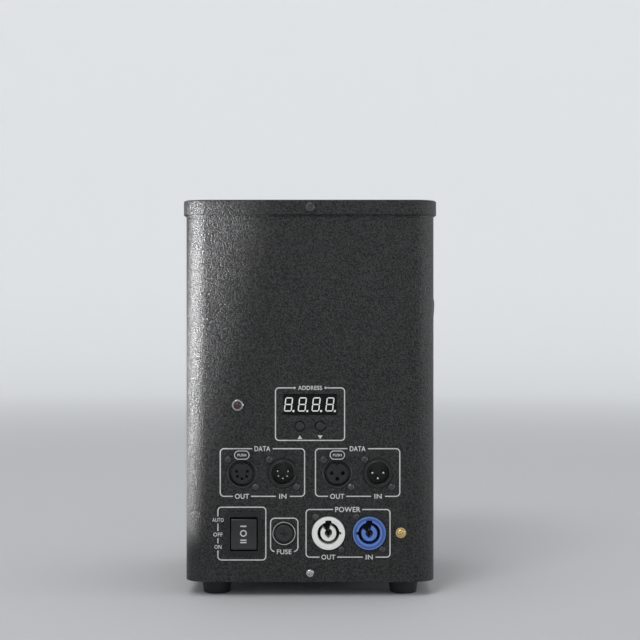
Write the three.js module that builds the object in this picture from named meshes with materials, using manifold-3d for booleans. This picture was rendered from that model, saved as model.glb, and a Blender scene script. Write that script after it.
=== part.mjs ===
// Stage flame machine: a sheet-metal box that holds a fuel can, presses its valve and lights the jet of gas.
// Millimetres, +Z up. The control panel faces -Y, the loading door is in the +X side.
// The flame leaves at the top.
import * as THREE from "three";
import { mergeVertices } from "three/addons/utils/BufferGeometryUtils.js";
import Module from "manifold-3d";

const wasm = await Module();
wasm.setup();

// Driving dimensions of the sheet-metal box
const bodyWide = 184;
const bodyDeep = 184;
const cornerShare = 2 / 23;
const cornerRadius = bodyWide * cornerShare;
const sheet = 1.2;
const seat = 0.3;
const overrun = 1;
const weldReach = 1e-4;
const footHigh = 11;
const trayFlangeHigh = 16;

// Driving dimensions of the fuel can and of what stands over it
const canRadius = 32.5;
const canWallHigh = 151;
const canDomeHigh = 12;
const valveCupRadius = 16;
const valveCupHigh = 3;
const stemRadius = 2;
const stemHigh = 4;
const canSeatHigh = 19;
const leverOverStem = 14.5;
const deckOverLever = 28.5;
const chamberHigh = 49;

// Driving dimensions of the lid
const lidSheet = 1.5;
const lidClearance = 0.5;
const skirtHigh = 11;
const portRadius = 35;

// Places on the control panel, from its centre line and from the floor
const socketNear = 20;
const socketFar = 50;
const socketHigh = 91;
const mainsOutPlace = 13.5;
const mainsPitch = 30;
const mainsHigh = 47;
const rockerPlace = -48.5;
const rockerHigh = 46.5;
const fusePlace = -19.1;
const fuseHigh = 47;
const lampPlace = -53.2;
const lampHigh = 141;
const displayHigh = 141.5;
const buttonPlace = 7.5;
const buttonHigh = 125.5;
const earthShare = 0.4324;
const earthHigh = 47.3;

// Levels and faces that follow from them
const rightFace = bodyWide / 2;
const rightInner = rightFace - sheet;
const frontFace = -bodyDeep / 2;
const frontInner = frontFace + sheet;
const rearFace = bodyDeep / 2;
const rearInner = rearFace - sheet;
const innerRadius = cornerRadius - sheet;
const shellBottom = footHigh;
const trayTop = shellBottom + sheet;
const canBottom = shellBottom + canSeatHigh;
const canShoulder = canBottom + canWallHigh;
const canTop = canShoulder + canDomeHigh;
const stemTop = canTop + valveCupHigh + stemHigh;
const leverBottom = stemTop + leverOverStem;
const deckBottom = leverBottom + deckOverLever;
const deckTop = deckBottom + lidSheet;
const lidTop = deckBottom + chamberHigh;
const lidUnder = lidTop - lidSheet;
const shellTop = lidUnder - seat;

// Round pieces are turned in steps: fine, plain and small
const fineSteps = 32;
const plainSteps = 20;
const smallSteps = 10;
const cornerSteps = 4;

// A closed mesh with shared vertices becomes a solid that can be joined and cut
function solid(geometry) {
  const bare = geometry.clone();
  bare.deleteAttribute("normal");
  bare.deleteAttribute("uv");
  const merged = mergeVertices(bare, weldReach);
  const kept = [];
  const index = merged.index.array;
  for (let i = 0; i < index.length; i += 3) {
    const [a, b, c] = [index[i], index[i + 1], index[i + 2]];
    if (a !== b && b !== c && c !== a) kept.push(a, b, c);
  }
  const vertProperties = merged.attributes.position.array;
  const make = (list) =>
    new wasm.Manifold(new wasm.Mesh({ numProp: 3, vertProperties, triVerts: new Uint32Array(list) }));
  const made = make(kept);
  return made.volume() > 0 ? made : make(kept.reverse());
}

// A solid goes back to a mesh under its name
function mesh(name, body, material) {
  const data = body.getMesh();
  const geometry = new THREE.BufferGeometry();
  geometry.setAttribute("position", new THREE.BufferAttribute(data.vertProperties, data.numProp));
  geometry.setIndex(new THREE.BufferAttribute(data.triVerts, 1));
  geometry.computeVertexNormals();
  const made = new THREE.Mesh(geometry, material);
  made.name = name;
  return made;
}

const joined = (...bodies) => bodies.reduce((whole, body) => whole.add(body));
const without = (whole, ...cuts) => cuts.reduce((left, cut) => left.subtract(cut), whole);

// A box between two values on each axis
function box([x0, x1], [y0, y1], [z0, z1]) {
  const geometry = new THREE.BoxGeometry(x1 - x0, y1 - y0, z1 - z0);
  geometry.translate((x0 + x1) / 2, (y0 + y1) / 2, (z0 + z1) / 2);
  return solid(geometry);
}

// A span of a width about a middle
const about = (middle, width) => [middle - width / 2, middle + width / 2];

// Turned pieces: the profile is a list of [radius, distance along the axis]
function turned(profile, steps = plainSteps) {
  const points = profile.map(([radius, along]) => new THREE.Vector2(radius, along));
  return new THREE.LatheGeometry(points, steps);
}

function turnedZ(profile, [x, y], steps) {
  return solid(turned(profile, steps).rotateX(Math.PI / 2).translate(x, y, 0));
}

// Along +Y, for what is fitted through the control panel
function turnedY(profile, [x, z], steps) {
  return solid(turned(profile, steps).translate(x, 0, z));
}

function turnedX(profile, [y, z], steps) {
  return solid(turned(profile, steps).rotateZ(-Math.PI / 2).translate(0, y, z));
}

// A plain rod between two distances along the axis
const rod = (radius, [from, to]) => [[0, from], [radius, from], [radius, to], [0, to]];

// A tube open at both ends, its profile closed on itself
const tube = (inner, outer, [from, to]) => [
  [inner, from],
  [outer, from],
  [outer, to],
  [inner, to],
  [inner, from],
];

// A rectangle with round corners about a middle
function roundedRectangle(wide, high, radius, [x, y] = [0, 0]) {
  const [right, top] = [wide / 2 - radius, high / 2 - radius];
  const shape = new THREE.Shape();
  shape.absarc(x + right, y + top, radius, 0, Math.PI / 2);
  shape.absarc(x - right, y + top, radius, Math.PI / 2, Math.PI);
  shape.absarc(x - right, y - top, radius, Math.PI, Math.PI * 1.5);
  shape.absarc(x + right, y - top, radius, Math.PI * 1.5, Math.PI * 2);
  return shape;
}

// A flat shape given thickness along Z
function plateZ(shape, [z0, z1], steps = cornerSteps) {
  const options = { depth: z1 - z0, bevelEnabled: false, curveSegments: steps };
  return solid(new THREE.ExtrudeGeometry(shape, options).translate(0, 0, z0));
}

// A shape drawn as seen from the panel side, X to the right and Z up, given thickness along Y
function plateY(shape, [y0, y1], steps = cornerSteps) {
  const options = { depth: y1 - y0, bevelEnabled: false, curveSegments: steps };
  return solid(new THREE.ExtrudeGeometry(shape, options).rotateX(Math.PI / 2).translate(0, y1, 0));
}

// A shape drawn in Y and Z, given thickness along X
function plateX(shape, [x0, x1], steps = cornerSteps) {
  const options = { depth: x1 - x0, bevelEnabled: false, curveSegments: steps };
  const geometry = new THREE.ExtrudeGeometry(shape, options).rotateX(Math.PI / 2).rotateZ(Math.PI / 2);
  return solid(geometry.translate(x0, 0, 0));
}

// An outline from a list of corners
const outline = (corners) => new THREE.Shape(corners.map(([u, v]) => new THREE.Vector2(u, v)));

// A tube bent along a path of straight runs and round corners
function bentTube(path, radius, steps, sides) {
  const section = new THREE.Shape();
  section.absarc(0, 0, radius, 0, Math.PI * 2);
  const options = { steps, bevelEnabled: false, extrudePath: path, curveSegments: sides / 2 };
  return solid(new THREE.ExtrudeGeometry(section, options));
}

// Straight runs between the points, each corner rounded by its radius
function roundedPath(points, radius) {
  const path = new THREE.CurvePath();
  let last = points[0];
  for (let i = 1; i < points.length - 1; i += 1) {
    const back = points[i - 1].clone().sub(points[i]).setLength(radius).add(points[i]);
    const on = points[i + 1].clone().sub(points[i]).setLength(radius).add(points[i]);
    path.add(new THREE.LineCurve3(last, back));
    path.add(new THREE.QuadraticBezierCurve3(back, points[i], on));
    last = on;
  }
  path.add(new THREE.LineCurve3(last, points[points.length - 1]));
  return path;
}

// Finishes
function finish(colour, roughness, metalness) {
  return new THREE.MeshStandardMaterial({ color: colour, roughness, metalness, flatShading: true });
}
const powderCoat = finish("#343536", 0.62, 0.1);
const steel = finish("#a9adb0", 0.35, 0.9);
const chrome = finish("#d6d8da", 0.12, 1);
const stainless = finish("#b9b7b2", 0.3, 0.95);
const brass = finish("#c2a561", 0.35, 0.9);
const rubber = finish("#151515", 0.85, 0);
const blackPlastic = finish("#1b1c1d", 0.5, 0);
const glossBlack = finish("#101112", 0.2, 0);
const whitePlastic = finish("#e4e4e0", 0.4, 0);
const bluePlastic = finish("#4a78c8", 0.4, 0);
const redLens = finish("#7a1f22", 0.15, 0);
const glass = finish("#dfe6e6", 0.08, 0);
const ceramic = finish("#ece8de", 0.4, 0);
const circuitBoard = finish("#1f5b38", 0.5, 0.05);
const canPaint = finish("#c9ccce", 0.3, 0.6);
const leadRubber = finish("#a33427", 0.6, 0);

const machine = new THREE.Group();

// Side door: a flush panel with turned-in edges, on two pins near its front edge
const doorFrontInset = 27.5;
const doorRearInset = 27;
const doorUnderDeck = 5;
const doorGap = 1.5;
const hingeGap = 2;
const doorEdgeDeep = 8;
const hingeInset = 5;
const hingeFromEdge = 4.5;
const hingePinRadius = 2;
const hingePinProud = 1.5;
const hingePinReach = 6;
const hingeTabDeep = 10;
const hingeTabLong = 12;
const doorFront = frontFace + doorFrontInset;
const doorRear = rearFace - doorRearInset;
const doorBottom = canBottom;
const doorTop = deckBottom - doorUnderDeck;
const hingePlace = [rightFace - hingeInset, doorFront + hingeFromEdge];
const sill = doorBottom - doorGap;
const lintel = doorTop + doorGap;

// Latch: a wing handle outside, its spindle through the door and a cam on the spindle inside
const latchFromEdge = 20;
const latchUnderTop = 32.5;
const spindleRadius = 3;
const bossRadius = 8;
const bossHigh = 2.4;
const wingWide = 10;
const wingUp = 18;
const wingDown = 18.5;
const wingHigh = 7.7;
const camWide = 12;
const camReach = 25;
const camThick = 2.5;
const camBehindShell = 1.5;
const nutRadius = 6;
const nutHigh = 3.5;
const latchPlace = [doorRear - latchFromEdge, doorTop - latchUnderTop];

// Rear cover and the ways out for air in it
const returnFlat = 6;
const slotWide = 34;
const slotHigh = 3.5;
const slotPitch = 8;
const slotRows = 8;
const slotPlace = 34;
const slotsOverFloor = 40;
const coverOuter = rearInner - seat;
const coverInner = coverOuter - sheet;

// Screws that show on the box
const lidScrewDrop = 5.6;
const lidScrewHeadRadius = 3.5;
const baseScrewHigh = 6.6;
const baseScrewHeadRadius = 2.95;
const screwHeadHigh = 2.2;
const screwRadius = 1.5;
const screwReach = 6;
const headTopShare = 0.6;
const lidScrewLevel = lidTop - lidScrewDrop;
const baseScrewLevel = shellBottom + baseScrewHigh;

// Holes that the panel pieces pass through, each a little larger than its piece
const socketRadius = 10.9;
const mainsRadius = 12.1;
const rockerBodyWide = 21.4;
const rockerBodyHigh = 28.4;
const fuseBodyRadius = 6.2;
const lampBodyRadius = 3.6;
const displayWide = 38.8;
const displayTall = 15;
const buttonRadius = 3.3;
const buttonPlay = 0.7;
const earthRadius = 1.9;
const tabStemWide = 5;
const tabStemHigh = 2;
const tabRise = 13.6;
const panelCut = [frontFace - overrun, frontInner + overrun];
const socketPlaces = [-socketFar, -socketNear, socketNear, socketFar];
const femalePlaces = [-socketFar, socketNear];

function panelHoles() {
  const round = (x, z, radius, steps) => turnedY(rod(radius + seat, panelCut), [x, z], steps);
  const square = (x, z, wide, high) =>
    box(about(x, wide + seat + seat), panelCut, about(z, high + seat + seat));
  return [
    ...socketPlaces.map((x) => round(x, socketHigh, socketRadius)),
    ...femalePlaces.map((x) => square(x, socketHigh + tabRise, tabStemWide, tabStemHigh)),
    round(mainsOutPlace, mainsHigh, mainsRadius),
    round(mainsOutPlace + mainsPitch, mainsHigh, mainsRadius),
    square(rockerPlace, rockerHigh, rockerBodyWide, rockerBodyHigh),
    round(fusePlace, fuseHigh, fuseBodyRadius),
    round(lampPlace, lampHigh, lampBodyRadius, smallSteps),
    square(0, displayHigh, displayWide, displayTall),
    round(-buttonPlace, buttonHigh, buttonRadius + buttonPlay - seat, smallSteps),
    round(buttonPlace, buttonHigh, buttonRadius + buttonPlay - seat, smallSteps),
    round(earthPlace, earthHigh, earthRadius, smallSteps),
  ];
}

// Body shell: one sheet folded round the front, the sides and both rear corners
function bodyShell() {
  const outer = plateZ(roundedRectangle(bodyWide, bodyDeep, cornerRadius), [shellBottom, shellTop]);
  const inner = plateZ(
    roundedRectangle(bodyWide - 2 * sheet, bodyDeep - 2 * sheet, innerRadius),
    [shellBottom - overrun, shellTop + overrun],
  );
  const rearHalf = rightFace - cornerRadius - returnFlat;
  const rearOpening = box([-rearHalf, rearHalf], [0, rearFace + overrun], [0, lidTop]);
  const doorway = box([0, rightFace + overrun], [doorFront - hingeGap, doorRear + doorGap], [sill, lintel]);
  const holeRadius = screwRadius + seat;
  const across = [-rightFace - overrun, rightFace + overrun];
  const front = [frontFace - overrun, frontInner + overrun];
  const tabs = [
    [sill - sheet, sill],
    [lintel, lintel + sheet],
  ].map((level) => hingeTab(level));
  return joined(
    without(
      outer,
      inner,
      rearOpening,
      doorway,
      ...panelHoles(),
      turnedY(rod(holeRadius, front), [0, lidScrewLevel], smallSteps),
      turnedY(rod(holeRadius, front), [0, baseScrewLevel], smallSteps),
      turnedX(rod(holeRadius, across), [0, lidScrewLevel], smallSteps),
      turnedX(rod(holeRadius, across), [0, baseScrewLevel], smallSteps),
    ),
    ...tabs,
  );
}

// A tab turned in from the shell above or below the door, with the hole for a hinge pin
function hingeTab(level) {
  const [x, y] = hingePlace;
  const plate = box([rightFace - hingeTabDeep, rightInner + sheet / 2], about(y, hingeTabLong), level);
  const through = [level[0] - overrun, level[1] + overrun];
  const hole = turnedZ(rod(hingePinRadius + seat, through), [x, y], smallSteps);
  return without(plate, hole);
}

// A shallow tray folded from sheet, with round corners that follow the inside of the box
function tray(floor, flangeTop) {
  const [front, rear] = [frontInner + seat, coverInner - seat];
  const middle = [0, (front + rear) / 2];
  const wide = 2 * (rightInner - seat);
  const [radius, deep] = [innerRadius - seat, rear - front];
  const block = plateZ(roundedRectangle(wide, deep, radius, middle), [floor[0], flangeTop]);
  const hollow = plateZ(
    roundedRectangle(wide - 2 * sheet, deep - 2 * sheet, radius - sheet, middle),
    [floor[1], flangeTop + overrun],
  );
  return without(block, hollow);
}

// Feet and the screws that hold them
const footInset = 22.3;
const footTopRadius = 11.5;
const footBottomRadius = 9.75;
const footEdge = 1.6;
const footRecessRadius = 3.5;
const footRecessDeep = 7;
const footBore = 2;
const [footX, footY] = [rightFace - footInset, rearFace - footInset];
const footPlaces = { front_left: [-footX, -footY], front_right: [footX, -footY] };
Object.assign(footPlaces, { rear_left: [-footX, footY], rear_right: [footX, footY] });

function baseTray() {
  const floor = [shellBottom, trayTop];
  const holes = Object.values(footPlaces).map((place) =>
    turnedZ(rod(footBore, [shellBottom - overrun, trayTop + overrun]), place, smallSteps),
  );
  const across = [-rightFace, rightFace];
  const along = [frontFace, rearFace];
  return without(
    tray(floor, shellBottom + trayFlangeHigh),
    ...holes,
    turnedX(rod(screwRadius + seat, across), [0, baseScrewLevel], smallSteps),
    turnedY(rod(screwRadius + seat, along), [0, baseScrewLevel], smallSteps),
  );
}

function foot(place) {
  const profile = [
    [0, footRecessDeep],
    [footRecessRadius, footRecessDeep],
    [footRecessRadius, 0],
    [footBottomRadius - footEdge, 0],
    [footBottomRadius, footEdge],
    [footTopRadius, footHigh - seat],
    [0, footHigh - seat],
  ];
  return turnedZ(profile, place, plainSteps);
}

// Rear cover: a flat sheet behind the two returns, with rows of slots low down
function rearCover() {
  const half = rightFace - cornerRadius;
  const through = [coverInner - overrun, coverOuter + overrun];
  const slots = [];
  for (let row = 0; row < slotRows; row += 1) {
    const level = about(slotsOverFloor + row * slotPitch, slotHigh);
    slots.push(box(about(-slotPlace, slotWide), through, level));
    slots.push(box(about(slotPlace, slotWide), through, level));
  }
  return without(
    box([-half, half], [coverInner, coverOuter], [shellBottom, shellTop]),
    ...slots,
    turnedY(rod(screwRadius + seat, through), [0, lidScrewLevel], smallSteps),
    turnedY(rod(screwRadius + seat, through), [0, baseScrewLevel], smallSteps),
  );
}

// Lid: a shallow cap over the shell with the port for the flame
const lidGrow = 2 * (lidClearance + lidSheet);
const [skirtFront, skirtRear] = [frontFace - lidGrow / 2, rearFace + lidGrow / 2];

function lid() {
  const grown = (more) =>
    roundedRectangle(bodyWide + more, bodyDeep + more, cornerRadius + more / 2);
  const block = plateZ(grown(lidGrow), [lidTop - skirtHigh, lidTop]);
  const hollow = plateZ(grown(2 * lidClearance), [lidTop - skirtHigh - overrun, lidUnder]);
  const port = turnedZ(rod(portRadius, [lidUnder - overrun, lidTop + overrun]), [0, 0], fineSteps);
  const hole = rod(screwRadius + seat, [skirtFront - overrun, skirtRear + overrun]);
  return without(
    block,
    hollow,
    port,
    turnedY(hole, [0, lidScrewLevel], smallSteps),
    turnedX(hole, [0, lidScrewLevel], smallSteps),
  );
}

// A pan-head screw driven into a face; out is -1 where it points towards -Y and 1 towards +Y
function panScrew(level, face, out, headRadius, reach) {
  const rise = (height) => face + out * (seat + height);
  const profile = [
    [0, rise(screwHeadHigh)],
    [headRadius * headTopShare, rise(screwHeadHigh)],
    [headRadius, rise(screwHeadHigh / 2)],
    [headRadius, rise(0)],
    [screwRadius, rise(0)],
    [screwRadius, face - out * reach],
    [0, face - out * reach],
  ];
  return turnedY(profile, [0, level], smallSteps);
}

function sideDoor() {
  const [x, y] = hingePlace;
  const [latchY, latchZ] = latchPlace;
  const height = [doorBottom, doorTop];
  const depth = [rightFace - doorEdgeDeep, rightInner + sheet / 2];
  const skin = box([rightInner, rightFace], [doorFront, doorRear], height);
  const edges = [
    box(depth, [doorFront, doorFront + sheet], height),
    box(depth, [doorRear - sheet, doorRear], height),
    box(depth, [doorFront, doorRear], [doorBottom, doorBottom + sheet]),
    box(depth, [doorFront, doorRear], [doorTop - sheet, doorTop]),
  ];
  const camWay = box(
    [rightFace - doorEdgeDeep - overrun, rightInner],
    [doorRear - 2 * sheet, doorRear + overrun],
    [latchZ - camReach + camWide / 2, latchZ + camWide],
  );
  const pinHole = rod(hingePinRadius + seat, [doorBottom - overrun, doorTop + overrun]);
  const wall = [rightInner - overrun, rightFace + overrun];
  return without(
    joined(skin, ...edges),
    camWay,
    turnedZ(pinHole, [x, y], smallSteps),
    turnedX(rod(spindleRadius + seat, wall), [latchY, latchZ], smallSteps),
  );
}

// A hinge pin through the shell's tab into the door; side is -1 for the lower pin and 1 for the upper
function hingePin(tabOuter, side) {
  const ends = [tabOuter + side * hingePinProud, tabOuter - side * (sheet + doorGap + hingePinReach)];
  return turnedZ(rod(hingePinRadius, ends), hingePlace, smallSteps);
}

function latchHandle() {
  const [y, z] = latchPlace;
  const bossTop = rightFace + seat + bossHigh;
  const wingTop = bossTop + wingHigh;
  const nutFar = rightInner - camBehindShell - camThick - seat;
  const spindle = turnedX(rod(spindleRadius, [nutFar - nutHigh, bossTop]), latchPlace, smallSteps);
  const nut = turnedX(rod(nutRadius, [nutFar - nutHigh, nutFar]), latchPlace, cornerSteps);
  const boss = turnedX(rod(bossRadius, [rightFace + seat, bossTop]), latchPlace, plainSteps);
  const bevel = wingWide / 2;
  const profile = outline([
    [-wingUp, bossTop - sheet],
    [wingDown, bossTop - sheet],
    [wingDown, wingTop - bevel],
    [wingDown - bevel, wingTop],
    [sheet - wingUp, wingTop],
    [-wingUp, wingTop - sheet],
  ]);
  const options = { depth: wingWide, bevelEnabled: false };
  const wing = new THREE.ExtrudeGeometry(profile, options).translate(0, 0, -wingWide / 2);
  wing.rotateX(Math.PI / 2).rotateY(Math.PI / 2).translate(0, y, z);
  return joined(spindle, nut, boss, solid(wing));
}

function latchCam() {
  const [y, z] = latchPlace;
  const outer = rightInner - camBehindShell;
  const blade = box([outer - camThick, outer], about(y, camWide), [z - camReach, z]);
  const eye = turnedX(rod(camWide / 2, [outer - camThick, outer]), latchPlace, plainSteps);
  const bore = rod(spindleRadius + seat, [outer - camThick - overrun, outer + overrun]);
  return without(joined(blade, eye), turnedX(bore, latchPlace, smallSteps));
}

// Partition: a sheet between the electrics bay and the can bay, turned forward at both ends
const cradleClearance = 1.2;
const cradleWall = 1.5;
const cradleHigh = 45;
const cradleMouth = 8;
const partitionBehindCan = 4.9;
const partitionWallInset = 10.5;
const partitionFlange = 10;
const partitionFrontGap = 3.5;
const leverWindowWide = 28;
const leverWindowDown = 8.5;
const leverWindowUp = 8;
const leadRadius = 2.5;
const leadOverLever = 12.5;
const leadBend = 11;
const electrodePlace = 20;
const partitionRear = -(canRadius + partitionBehindCan);
const partitionFront = partitionRear - sheet;
const partitionRight = rightFace - partitionWallInset;
const mainsEdge = mainsOutPlace + mainsPitch + mainsRadius;
const earthPlace = mainsEdge + (partitionRight - mainsEdge) * earthShare;
const mountFace = partitionFront - seat;
const leadLevel = leverBottom + leadOverLever;
const electrodePlaces = { left: -electrodePlace, right: electrodePlace };

function partition() {
  const height = [trayTop + seat, deckBottom - seat];
  const left = -(rightInner - seat - sheet - seat);
  const front = frontInner + partitionFrontGap;
  const through = [partitionFront - overrun, partitionRear + overrun];
  const sheets = joined(
    box([left, partitionRight], [partitionFront, partitionRear], height),
    box([partitionRight - sheet, partitionRight], [front, partitionRear], height),
    box([left, left + sheet], [partitionFront - partitionFlange, partitionRear], height),
  );
  const window = box(
    about(0, leverWindowWide),
    through,
    [leverBottom - leverWindowDown, leverBottom + leverWindowUp],
  );
  const leadHoles = Object.values(electrodePlaces).map((x) =>
    turnedY(rod(leadRadius + seat + seat, through), [x, leadLevel], smallSteps),
  );
  return without(sheets, window, ...leadHoles);
}

// Upper deck: a second tray over the mechanism, under the flame
const gasWayRadius = 14;
const insulatorRadius = 3.5;
const deckFlangeHigh = 10;

function upperDeck() {
  const through = [deckBottom - overrun, deckTop + overrun];
  const holes = Object.values(electrodePlaces).map((x) =>
    turnedZ(rod(insulatorRadius + seat, through), [x, 0], smallSteps),
  );
  return without(
    tray([deckBottom, deckTop], deckTop + deckFlangeHigh),
    turnedZ(rod(gasWayRadius, through), [0, 0], plainSteps),
    ...holes,
  );
}

// Can cradle: a round cup that stands on the tray, its wall open towards the door
function canCradle() {
  const inner = canRadius + cradleClearance;
  const outer = inner + cradleWall;
  const floorTop = canBottom - seat;
  const profile = [
    [inner, trayTop + seat],
    [outer, trayTop + seat],
    [outer, canBottom + cradleHigh],
    [inner, canBottom + cradleHigh],
    [inner, floorTop],
    [0, floorTop],
    [0, floorTop - cradleWall],
    [inner, floorTop - cradleWall],
    [inner, trayTop + seat],
  ];
  const top = canBottom + cradleHigh + overrun;
  const mouth = box([cradleMouth, outer + overrun], about(0, 2 * outer + overrun), [floorTop, top]);
  return without(turnedZ(profile, [0, 0], fineSteps), mouth);
}

// Fuel can: a straight drawn can with a domed shoulder, a crimped valve cup and the valve stem
const canFootRound = 2;
const domeSteps = 5;
const cupRimWide = 3;
const cupWellDeep = 1.5;
const cupHubRadius = 5;

function fuelCan() {
  const profile = [
    [0, canBottom],
    [canRadius - canFootRound, canBottom],
    [canRadius, canBottom + canFootRound],
  ];
  for (let i = 0; i <= domeSteps; i += 1) {
    const turn = (i / domeSteps) * (Math.PI / 2);
    const radius = valveCupRadius + (canRadius - valveCupRadius) * Math.cos(turn);
    profile.push([radius, canShoulder + canDomeHigh * Math.sin(turn)]);
  }
  const cupTop = canTop + valveCupHigh;
  profile.push([valveCupRadius, cupTop], [valveCupRadius - cupRimWide, cupTop]);
  profile.push([valveCupRadius - cupRimWide, cupTop - cupWellDeep], [cupHubRadius, cupTop - cupWellDeep]);
  profile.push([cupHubRadius, cupTop], [stemRadius, cupTop], [stemRadius, stemTop], [0, stemTop]);
  return turnedZ(profile, [0, 0], fineSteps);
}

// Valve press: a solenoid pulls the front end of a lever down, and its middle presses the nozzle on the stem
const leverThick = 3;
const leverWide = 16;
const leverRingRadius = 13;
const leverPlay = 0.6;
const pivotInset = 30.8;
const pivotPlace = rearInner - pivotInset;
const pivotRadius = 2;
const knuckleRadius = 4.5;
const knuckleHalf = 7.5;
const plungerPlace = -60;
const forkBeyond = 7;
const plungerTravel = 6;
const nozzleRadius = 9;
const nozzleNeckRadius = 5.5;
const nozzleNeckPlay = 1.5;
const nozzleCollarHigh = 2.9;
const nozzleTipRadius = 3;
const nozzleTipHigh = 3;
const nozzleBore = 0.8;
const nozzleSocketDeep = 4;
const leverTop = leverBottom + leverThick;
const leverMiddle = leverBottom + leverThick / 2;

function nozzleHead() {
  const bottom = stemTop + seat;
  const shoulder = leverBottom - leverPlay;
  const collar = leverTop + leverPlay;
  const collarTop = collar + nozzleCollarHigh;
  const socket = stemRadius + seat;
  const profile = [
    [socket, bottom],
    [nozzleRadius, bottom],
    [nozzleRadius, shoulder],
    [nozzleNeckRadius, shoulder],
    [nozzleNeckRadius, collar],
    [nozzleRadius, collar],
    [nozzleRadius, collarTop],
    [nozzleTipRadius, collarTop],
    [nozzleTipRadius, collarTop + nozzleTipHigh],
    [nozzleBore, collarTop + nozzleTipHigh],
    [nozzleBore, bottom + nozzleSocketDeep],
    [socket, bottom + nozzleSocketDeep],
    [socket, bottom],
  ];
  return turnedZ(profile, [0, 0]);
}

// Plunger: the solenoid's core with a collar under the lever and a head over it
const plungerRadius = 5;
const plungerDeep = 27.5;
const plungerCollarRadius = 8.5;
const plungerCollarHigh = 2.1;
const plungerNeckRadius = 2.5;
const plungerHeadRadius = 6;
const plungerHeadHigh = 2.9;
const solenoidUnderLever = 15;
const solenoidHigh = 41.5;
const solenoidWide = 30;
const solenoidFrontReach = 13;
const solenoidPlate = 2.5;
const coilRadius = 12;
const springRadius = 7.8;
const solenoidTop = leverBottom - solenoidUnderLever;
const collarBottom = leverBottom - leverPlay - plungerCollarHigh;

function pressLever() {
  const level = [leverBottom, leverTop];
  const bar = box(about(0, leverWide), [plungerPlace - forkBeyond, pivotPlace], level);
  const ring = turnedZ(rod(leverRingRadius, level), [0, 0], plainSteps);
  const barrel = rod(knuckleRadius, about(0, 2 * knuckleHalf));
  const knuckle = turnedX(barrel, [pivotPlace, leverMiddle], smallSteps);
  const through = [leverBottom - overrun, leverTop + overrun];
  const slotHalf = plungerNeckRadius + leverPlay;
  const slotEnd = turnedZ(rod(slotHalf, through), [0, plungerPlace], smallSteps);
  const slot = box(about(0, 2 * slotHalf), [plungerPlace - forkBeyond - overrun, plungerPlace], through);
  const across = about(0, leverWide + overrun);
  return without(
    joined(bar, ring, knuckle),
    turnedZ(rod(nozzleNeckRadius + nozzleNeckPlay, through), [0, 0], plainSteps),
    slotEnd,
    slot,
    turnedX(rod(pivotRadius + seat, across), [pivotPlace, leverMiddle], smallSteps),
  );
}

// Lever bracket: a folded U under the deck that carries the pivot pin
const bracketSheet = 1.5;
const bracketDeep = 16;
const bracketUnderPin = 6;
const pinBeyond = 2;
const pinHeadRadius = 3.2;
const pinHeadHigh = 1.5;
const cheekInner = leverWide / 2 + seat;
const cheekOuter = cheekInner + bracketSheet;

function leverBracket() {
  const top = deckBottom - seat;
  const outer = box(
    [-cheekOuter, cheekOuter],
    about(pivotPlace, bracketDeep),
    [leverMiddle - bracketUnderPin, top],
  );
  const inner = box(
    [-cheekInner, cheekInner],
    about(pivotPlace, bracketDeep + overrun),
    [leverMiddle - bracketUnderPin - overrun, top - bracketSheet],
  );
  const hole = rod(pivotRadius + seat, [-cheekOuter - overrun, cheekOuter + overrun]);
  return without(outer, inner, turnedX(hole, [pivotPlace, leverMiddle], smallSteps));
}

function leverPin() {
  const head = -cheekOuter - seat;
  const profile = [
    [0, head - pinHeadHigh],
    [pinHeadRadius, head - pinHeadHigh],
    [pinHeadRadius, head],
    [pivotRadius, head],
    [pivotRadius, cheekOuter + pinBeyond],
    [0, cheekOuter + pinBeyond],
  ];
  return turnedX(profile, [pivotPlace, leverMiddle], smallSteps);
}

function solenoid() {
  const bottom = solenoidTop - solenoidHigh;
  const depth = [plungerPlace - solenoidFrontReach, mountFace];
  const wide = about(0, solenoidWide);
  const bore = [bottom + solenoidPlate, solenoidTop + overrun];
  return without(
    joined(
      box(wide, depth, [bottom, bottom + solenoidPlate]),
      box(wide, depth, [solenoidTop - solenoidPlate, solenoidTop]),
      box(wide, [mountFace - solenoidPlate, mountFace], [bottom, solenoidTop]),
      turnedZ(rod(coilRadius, [bottom + seat, solenoidTop - seat]), [0, plungerPlace], plainSteps),
    ),
    turnedZ(rod(plungerRadius + seat, bore), [0, plungerPlace], plainSteps),
  );
}

function plunger() {
  const neckTop = leverTop + leverPlay;
  const profile = [
    [0, solenoidTop - plungerDeep],
    [plungerRadius, solenoidTop - plungerDeep],
    [plungerRadius, collarBottom],
    [plungerCollarRadius, collarBottom],
    [plungerCollarRadius, collarBottom + plungerCollarHigh],
    [plungerNeckRadius, collarBottom + plungerCollarHigh],
    [plungerNeckRadius, neckTop],
    [plungerHeadRadius, neckTop],
    [plungerHeadRadius, neckTop + plungerHeadHigh],
    [0, neckTop + plungerHeadHigh],
  ];
  return turnedZ(profile, [0, plungerPlace]);
}

function returnSpring() {
  const height = [solenoidTop + seat, collarBottom - seat];
  return turnedZ(tube(plungerRadius + seat, springRadius, height), [0, plungerPlace]);
}

// Flame cup: a stainless cup that hangs in the lid's port by its rim
const cupOverDeck = 5.5;
const cupSheet = 1.2;
const cupRimReach = 9;
const cupLow = 0.3;
const cupGap = 0.6;
const cupThroatRadius = 12;

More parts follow.
